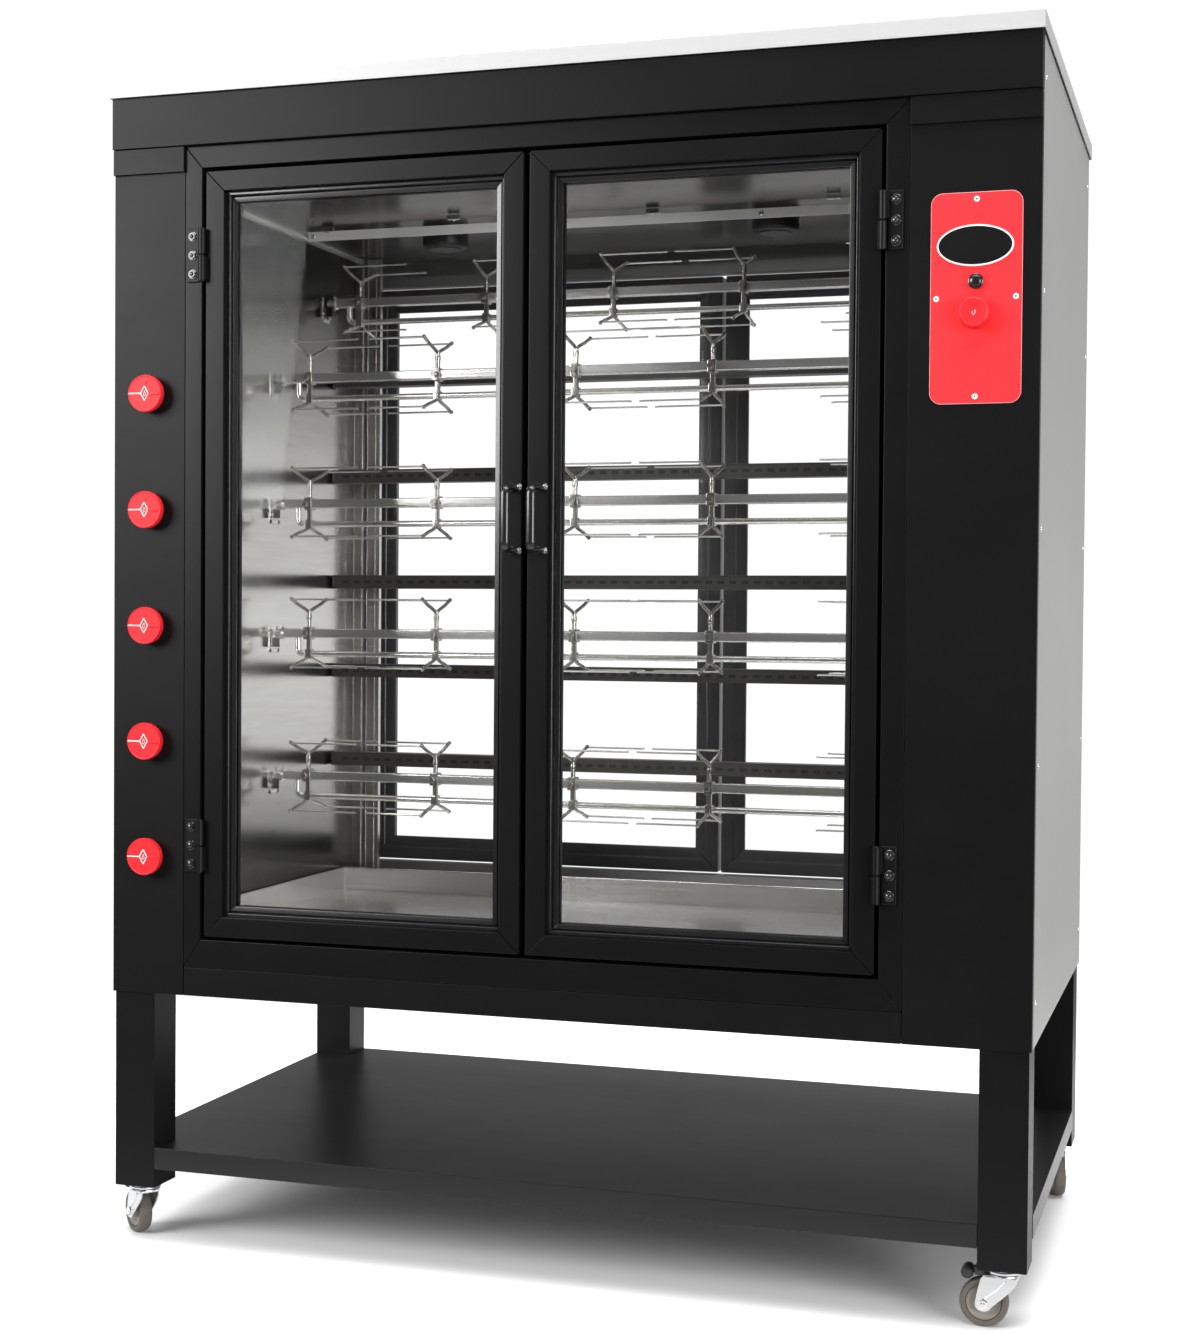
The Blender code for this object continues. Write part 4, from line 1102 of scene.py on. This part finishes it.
def makeSpit(number):
    axis = spitAxis(number)
    y, z = axis.y, axis.z
    left, right = spits["barEnds"]
    half, end, drop = spits["bar"] / 2, spits["twinEnd"], z - spits["twinDrop"]
    body = f"rotisserie_{number}"
    bm = bmesh.new()
    addBlock(bm, (left, y - half, z - half), (right, y + half, z + half), 0.0024, 3)
    twin = [(left + 0.028, y, z - 0.006), (left + 0.028, y, drop + 0.008),
            (left + 0.031, y, drop + 0.0025), (left + 0.038, y, drop), (0.0, y, drop),
            (end - 0.012, y, drop), (end - 0.003, y, drop + 0.0025), (end, y, drop + 0.008),
            (end, y, z - 0.006)]
    addBar(bm, twin, spits["twin"], 12)
    # collar and pin at the free end, journal and chain wheel at the driven end
    collar = [(0, 0.0215), (0.0050, 0.0210), (0.0072, 0.0185), (0.0075, 0.0060), (0.0112, 0.0050),
              (0.0116, 0.0010), (0.0105, 0), (0, 0)]
    addTurned(bm, collar, (left + 0.002, y, z), (-1, 0, 0), 28)
    addRod(bm, (left - 0.0045, y, z - 0.0145), (left - 0.0045, y, z + 0.0145), 0.0018, 10)
    journal = [(0, 0.070), (0.0060, 0.070), (0.0076, 0.0685), (0.0076, 0.002), (0.0108, 0.0015),
               (0.0112, -0.004), (0, -0.004)]
    addTurned(bm, journal, (spits["journal"], y, z), (1, 0, 0), 24)
    finishPiece(f"spit_bars_{number}", bm, "rod_steel", body, [f"spit_{number}"])
    wheel = bmesh.new()
    x, radius, teeth = spits["wheel"]
    addChainWheel(wheel, (x, y, z), radius, teeth)
    finishPiece(f"chain_wheel_{number}", wheel, "motor_grey", body)
    arms, prongs, clamps = bmesh.new(), bmesh.new(), bmesh.new()
    places = spits["topPlaces"] if number == 5 else spits["places"]
    for (x, way), lean in zip(places, spits["leans"]):
        addFork(arms, prongs, clamps, x, y, z, way, lean)
    finishPiece(f"spit_forks_{number}", arms, "fork_steel", body)
    finishPiece(f"spit_prongs_{number}", prongs, "prong_steel", body)
    finishPiece(f"fork_clamps_{number}", clamps, "fork_steel", body)


def addChainWheel(bm, place, radius, teeth):
    x, y, z = place
    flat, rim = radius - 0.004, radius - 0.0015
    disc = [(0.0090, 0.0052), (flat, 0.0052), (rim, 0.0044), (rim, 0.0016), (flat, 0.0008),
            (0.0090, 0.0008), (0.0090, 0.0052)]
    addTurned(bm, disc, place, (1, 0, 0), 40)
    for i in range(teeth):
        angle = math.tau * i / teeth
        a, b = math.cos(angle), math.sin(angle)
        addRod(bm, (x + 0.0030, y + a * (radius - 0.003), z + b * (radius - 0.003)),
               (x + 0.0030, y + a * (radius + 0.0022), z + b * (radius + 0.0022)), 0.0026, 6, 0.0010)


burners = {
    "ends": (-0.646, 0.588),
    "edge": 0.0026,
    "ports": 52,
    "portInset": 0.030,
}


def makeBurner(number):
    low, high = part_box(f"burner_{number}")
    x0, x1 = burners["ends"]
    y0, y1, z0, z1 = low.y, high.y, low.z, high.z
    y, middle = (y0 + y1) / 2, (z0 + z1) / 2
    bm = bmesh.new()
    addBlock(bm, (x0, y0 + 0.0016, z0), (x1, y1, z1), burners["edge"], 3)
    # folded guard lips above and below the ports
    for z in (z0 + 0.0016, z1 - 0.0016):
        addBlock(bm, (x0, y0, z - 0.0016), (x1, y0 + 0.004, z + 0.0016), 0.0007)
    addRod(bm, (low.x, y, middle), (x0 + 0.02, y, middle), 0.008, 20)
    for x in (x0 + 0.004, x1 - 0.008):
        addBlock(bm, (x, y0 - 0.0004, z0 - 0.0003), (x + 0.0035, y1 + 0.0003, z1 + 0.0003), 0.0007)
    finishPiece(f"burner_bar_{number}", bm, "burner_black", "oven", [f"burner_{number}"])
    # dark matt patches on the bar in place of open ports: painted shade in the port holes
    bm = bmesh.new()
    start = x0 + burners["portInset"]
    pitch = (x1 - x0 - 2 * burners["portInset"]) / (burners["ports"] - 1)
    for i in range(burners["ports"]):
        x = start + pitch * i
        addBlock(bm, (x - 0.0065, y0 + 0.0010, middle - 0.0032),
                 (x + 0.0065, y0 + 0.0022, middle + 0.0032), 0.0005, 1)
    finishPiece(f"burner_port_shade_{number}", bm, "black_matt", "oven")


def makeLamp(word):
    low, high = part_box("lamp_" + word)
    x, y, r = (low.x + high.x) / 2, (low.y + high.y) / 2, (high.x - low.x) / 2
    bm = bmesh.new()
    bottom = low.z
    profile = [(0, high.z - bottom), (r - 0.002, high.z - bottom), (r, 0.0300), (r, 0.0240),
               (r - 0.0010, 0.0230), (r - 0.0010, 0.0212), (r, 0.0202), (r, 0.0110),
               (r * 0.975, 0.0070), (r * 0.90, 0.0040), (r * 0.72, 0.0024), (r * 0.70, 0.0040),
               (r * 0.30, 0.0034), (0, 0.0030)]
    addTurned(bm, profile, (x, y, bottom), (0, 0, 1), 48)
    finishPiece(f"lamp_housing_{word}", bm, "lamp_black", "oven", [f"lamp_{word}"])
    bm = bmesh.new()
    lens = [(0, 0.0022), (r * 0.40, 0.0016), (r * 0.62, 0.0006), (r * 0.69, 0.0014),
            (r * 0.69, 0.0040), (0, 0.0040)]
    addTurned(bm, lens, (x, y, bottom), (0, 0, 1), 40)
    finishPiece(f"lamp_lens_{word}", bm, "lamp_black", "oven")


chamberTrim = {
    "postFoot": 0.534,
    "posts": ((0.000, 0.020), (0.0225, 0.006), (0.031, 0.004)),    # across, and in from the rear
    "railScrews": (-0.10, 0.26),
    "clips": ((-0.56, -0.05), (-0.29, -0.10), (0.07, -0.06), (0.40, -0.10)),
    "wallReach": 0.018,    # how far the right wall's face lies from its box
}


def makeChamberTrim():
    # folded corner strips and posts, the lamp rail, ceiling clips and spit rests
    wallLow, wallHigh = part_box("left_cavity_wall")
    ceiling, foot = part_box("cavity_ceiling")[0].z, chamberTrim["postFoot"]
    x, front, rear = wallLow.x + 0.002, wallLow.y, wallHigh.y
    bm = bmesh.new()
    addBlock(bm, (x, front + 0.002, ceiling - 0.0090), (x + 0.0012, rear - 0.002, ceiling - 0.0004),
             0.0004)
    addBlock(bm, (x, front + 0.002, ceiling - 0.0016), (x + 0.0085, rear - 0.002, ceiling - 0.0004),
             0.0004)
    finishPiece("ceiling_corner_strip", bm, "corner_bright", "oven")
    bm = bmesh.new()
    for across, deep in chamberTrim["posts"]:
        addBlock(bm, (x + across, rear - deep - 0.012, foot),
                 (x + across + 0.0185, rear - deep, ceiling - 0.002), 0.0010)
    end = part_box("right_cavity_wall")[0].x + chamberTrim["wallReach"]
    addBlock(bm, (end - 0.024, rear - 0.018, foot), (end - 0.001, rear - 0.006, ceiling - 0.002), 0.0010)
    finishPiece("rear_corner_posts", bm, "rail_steel", "oven")
    low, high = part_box("top_rail")
    bm = bmesh.new()
    addBlock(bm, low, high, 0.0006, 2)
    addBlock(bm, (low.x, low.y - 0.0002, high.z - 0.0022), (high.x, low.y + 0.0012, high.z), 0.0004, 1)
    finishPiece("lamp_rail", bm, "rail_bright", "oven", ["top_rail"])
    bm = bmesh.new()
    for along in (low.x + 0.010, *chamberTrim["railScrews"], high.x - 0.012):
        screwHead(bm, (along, low.y, (low.z + high.z) / 2), (0, -1, 0), 0.0050, 0.0022)
    finishPiece("rail_screws", bm, "bolt_steel", "oven")
    bm = bmesh.new()
    for cx, cy in chamberTrim["clips"]:
        addBlock(bm, (cx - 0.012, cy - 0.004, ceiling - 0.0105),
                 (cx + 0.012, cy + 0.004, ceiling - 0.0012), 0.0012)
        screwHead(bm, (cx, cy, ceiling - 0.0100), (0, 0, -1), 0.0038, 0.0022)
    finishPiece("ceiling_clips", bm, "corner_bright", "oven")
    bm = bmesh.new()
    for number in range(1, 6):
        addSpitRest(bm, x, spitAxis(number))
    finishPiece("spit_rest_plates", bm, "rail_steel", "oven")


def addSpitRest(bm, x, axis):
    # an open-topped plate on the wall with a screw at each side
    low = axis.z - 0.036
    for y0, y1, top in ((-0.020, -0.0125, 0.012), (0.0125, 0.020, 0.012), (-0.020, 0.020, -0.0285)):
        addBlock(bm, (x, axis.y + y0, low), (x + 0.0016, axis.y + y1, axis.z + top), 0.0006)
    for side in (-1, 1):
        screwHead(bm, (x + 0.0014, axis.y + side * 0.0163, axis.z - 0.020), (1, 0, 0), 0.0028, 0.0012)


def makeTrayRim():
    # the rolled edge of the drip tray
    low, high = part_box("drip_tray")
    z, r = high.z - 0.0001, 0.0021
    ends = [(low.x + r, low.y + r), (high.x - r, low.y + r), (high.x - r, high.y - r),
            (low.x + r, high.y - r)]
    bm = bmesh.new()
    for a, b in zip(ends, ends[1:] + ends[:1]):
        addBar(bm, [(*a, z), ((a[0] + b[0]) / 2, (a[1] + b[1]) / 2, z), (*b, z)], r, 12)
    finishPiece("tray_rolled_edge", bm, "corner_bright", "oven")


chain = {
    "x": 0.6190,
    "reach": 0.0408,      # from a wheel's axis to the links
    "link": 0.0030,
    "run": (0.90, 1.05, 1.17, 1.289, 1.40),
}


def makeChain():
    # the loop that turns the chain wheels, behind the right chamber wall
    x, r, run = chain["x"], chain["reach"], chain["run"]
    bottom, upper, top = (spitAxis(n) for n in (1, 4, 5))

    def around(axis, start, sweep, steps):
        for i in range(steps):
            angle = start + sweep * i / (steps - 1)
            yield x, axis.y + r * math.cos(angle), axis.z + r * math.sin(angle)

    path = list(around(bottom, math.pi, math.pi, 13))
    path += [(x, bottom.y + r, z) for z in run]
    path.append((x, upper.y + r, upper.z - 0.03))
    path += [*around(top, -0.55, math.pi * 0.78, 10), *around(upper, 2.0, 1.1, 5)]
    path += [(x, bottom.y - r, z) for z in reversed(run)]
    path.append(path[0])
    bm = bmesh.new()
    addBar(bm, path, chain["link"], 6, 0.8)
    finishPiece("drive_chain", bm, "motor_grey", "oven")


casters = {
    "radius": 0.0375,
    "width": 0.024,
    "trail": 0.030,
    "crown": 0.0835,
    "top": 0.0945,
    "cheek": 0.0030,
}


def casterPlace(spot):
    # its swivel axis on the floor, the way to its axle and the axle's own line
    swivel = Vector(joints[f"swivel_{spot}_turn"]["pos_m"])
    roll = joints[f"wheel_{spot}_roll"]
    axle, line = Vector(roll["pos_m"]), Vector(roll["axis"])
    toward = (axle - Vector((swivel.x, swivel.y, axle.z))).normalized()
    turn = Matrix((-toward, line, (0, 0, 1))).transposed().to_4x4()
    return Matrix.Translation((swivel.x, swivel.y, 0)) @ turn


def placed(bm, matrix):
    bmesh.ops.transform(bm, matrix=matrix, verts=bm.verts)
    bmesh.ops.recalc_face_normals(bm, faces=bm.faces)
    return bm


def mirrored(profile):
    return [(a, -b) for a, b in reversed(profile)]


def makeCaster(spot):
    matrix = casterPlace(spot)
    r, w, trail = casters["radius"], casters["width"] / 2, casters["trail"]
    axle = Vector((-trail, 0, r))
    bm = bmesh.new()
    seat = [(r - 0.0110, w - 0.0045)]
    shoulder = [(r - 0.0095, w - 0.0020), (r - 0.0050, w - 0.0008), (r - 0.0022, w - 0.0016),
                (r - 0.0006, w - 0.0042), (r, w - 0.0075)]
    tread = shoulder + [(r, 0.0)] + mirrored(seat + shoulder) + seat + shoulder[:1]
    addTurned(bm, tread, axle, (0, 1, 0), 64)
    finishPiece(f"tyre_{spot}", placed(bm, matrix), "tyre_rubber", f"wheel_{spot}",
                [f"caster_wheel_{spot}"])
    bm = bmesh.new()
    side = [(0.0058, w - 0.0005), (0.0098, w - 0.0005), (0.0112, w - 0.0022), (0.0130, w - 0.0055),
            (0.0200, w - 0.0062), (0.0240, w - 0.0040), (0.0262, w - 0.0028), (0.0272, w - 0.0050)]
    addTurned(bm, side + mirrored(side) + side[:1], axle, (0, 1, 0), 48)
    finishPiece(f"hub_{spot}", placed(bm, matrix), "hub_grey", f"wheel_{spot}")
    makeFork(spot, matrix, axle)
    if spot.startswith("front"):
        makePedal(spot, matrix)


def makeFork(spot, matrix, axle):
    outer = casters["width"] / 2 + 0.002 + casters["cheek"]
    inner = outer - casters["cheek"]
    crown, top = casters["crown"], casters["top"]
    bm = bmesh.new()
    for side in (-1, 1):
        y0, y1 = sorted((side * inner, side * outer))
        outline = [(axle.x - 0.0128, 0.0385), (axle.x - 0.0120, 0.0325), (axle.x - 0.0085, 0.0280),
                   (axle.x - 0.0030, 0.0258), (axle.x + 0.0030, 0.0258), (axle.x + 0.0088, 0.0283),
                   (axle.x + 0.0140, 0.0345), (0.0010, 0.0500), (0.0120, 0.0610), (0.0205, 0.0720),
                   (0.0215, crown - 0.0012), (-0.0300, crown - 0.0012), (-0.0345, 0.0760),
                   (axle.x - 0.0085, 0.0600)]
        verts = [bm.verts.new((x, y0, z)) for x, z in outline]
        face = bm.faces.new(verts)
        lifted = bmesh.ops.extrude_face_region(bm, geom=[face], use_keep_orig=True)
        far = [g for g in lifted["geom"] if isinstance(g, bmesh.types.BMVert)]
        bmesh.ops.translate(bm, verts=far, vec=(0, y1 - y0, 0))
        every = verts + far
        bmesh.ops.recalc_face_normals(bm, faces=list({f for v in every for f in v.link_faces}))
        rims = {e for v in every for e in v.link_edges
                if abs(e.verts[0].co.y - e.verts[1].co.y) < 0.0001}
        roundOff(bm, 0.0008, 2, 30, rims)
        # pressed rib down the cheek
        rib = [(0.004, side * outer, 0.0760), (-0.009, side * outer, 0.0600),
               (axle.x + 0.003, side * outer, 0.0455)]
        addBar(bm, rib, 0.0022, 10)
    addBlock(bm, (-0.0290, -outer, crown - 0.0052), (0.0210, outer, crown - 0.0008), 0.0016, 3)
    # the crown's cap, the swivel race and the plate under the leg
    cap = [(0, 0.0030), (0.0225, 0.0030), (0.0250, 0.0018), (0.0254, 0), (0, 0)]
    race = [(0, 0.0045), (0.0252, 0.0045), (0.0268, 0.0034), (0.0268, 0.0008), (0.0258, 0), (0, 0)]
    rest = top - crown - 0.0072
    plate = [(0, rest), (0.0264, rest), (0.0268, 0.0030), (0.0268, 0.0006), (0, 0)]
    for profile, rise in ((cap, -0.0012), (race, 0.0024), (plate, 0.0072)):
        addTurned(bm, profile, (0, 0, crown + rise), (0, 0, 1), 48)
    finishPiece(f"fork_{spot}", placed(bm, matrix), "zinc", f"swivel_{spot}", [f"caster_fork_{spot}"])
    bm = bmesh.new()
    for side in (-1, 1):
        y = side * outer
        nut = addRod(bm, (axle.x, y, axle.z), (axle.x, y + side * 0.0042, axle.z), 0.0074, 6)
        roundOff(bm, 0.0006, 2, 30, {e for v in nut["verts"] for e in v.link_edges})
        tip = [(0, 0.0060), (0.0026, 0.0056), (0.0038, 0.0042), (0.0038, 0), (0, 0)]
        washer = [(0, 0.0010), (0.0086, 0.0010), (0.0090, 0.0004), (0.0090, 0), (0, 0)]
        addTurned(bm, tip, (axle.x, y, axle.z), (0, side, 0), 16)
        addTurned(bm, washer, (axle.x, y, axle.z), (0, side, 0), 28)
    addRod(bm, (axle.x, -outer, axle.z), (axle.x, outer, axle.z), 0.0042, 16)
    finishPiece(f"axle_{spot}", placed(bm, matrix), "bolt_steel", f"swivel_{spot}")


def makePedal(spot, matrix):
    bm = bmesh.new()
    # a pressed lever with a broad ribbed toe
    addBlock(bm, (-0.0440, -0.0150, 0.0800), (-0.0285, 0.0150, 0.0935), 0.0030, 3)
    addBar(bm, [(-0.036, 0, 0.0872), (-0.044, 0, 0.0862), (-0.050, 0, 0.0845), (-0.055, 0, 0.0832)],
           0.0092, 16, 0.60)
    toe = [(0, 0.0160), (0.0066, 0.0152), (0.0096, 0.0118), (0.0100, 0)]
    addTurned(bm, toe + mirrored(toe[:-1]), (-0.0552, 0, 0.0825), (0, 1, 0), 24)
    for i in (-1, 0, 1):
        x = -0.0362 + i * 0.0034
        addBlock(bm, (x - 0.0006, -0.0125, 0.0930), (x + 0.0006, 0.0125, 0.0942), 0.0003, 1)
    finishPiece(f"pedal_{spot}", placed(bm, matrix), "black_matt", f"brake_{spot}",
                [f"brake_pedal_{spot}"])


# put together
dressBody()
makeBodyScrews()
makeVents()
makeSurround()
print("body dressed")
for word in ("left", "right"):
    makeFrontDoor(word)
    makeRearDoor(word)
    makeHandle(word)
    makeLamp(word)
makeHinges()
print("doors hung")
makeControlPlate()
makeSelector()
for number, height in enumerate(controls["knobHeights"], 1):
    makeGasKnob(number, height)
print("controls fitted")
for number in range(1, 6):
    makeSpit(number)
    makeBurner(number)
makeChamberTrim()
makeTrayRim()
makeChain()
print("chamber filled")
for spot in ("front_left", "front_right", "rear_left", "rear_right"):
    makeCaster(spot)
print("casters fitted")
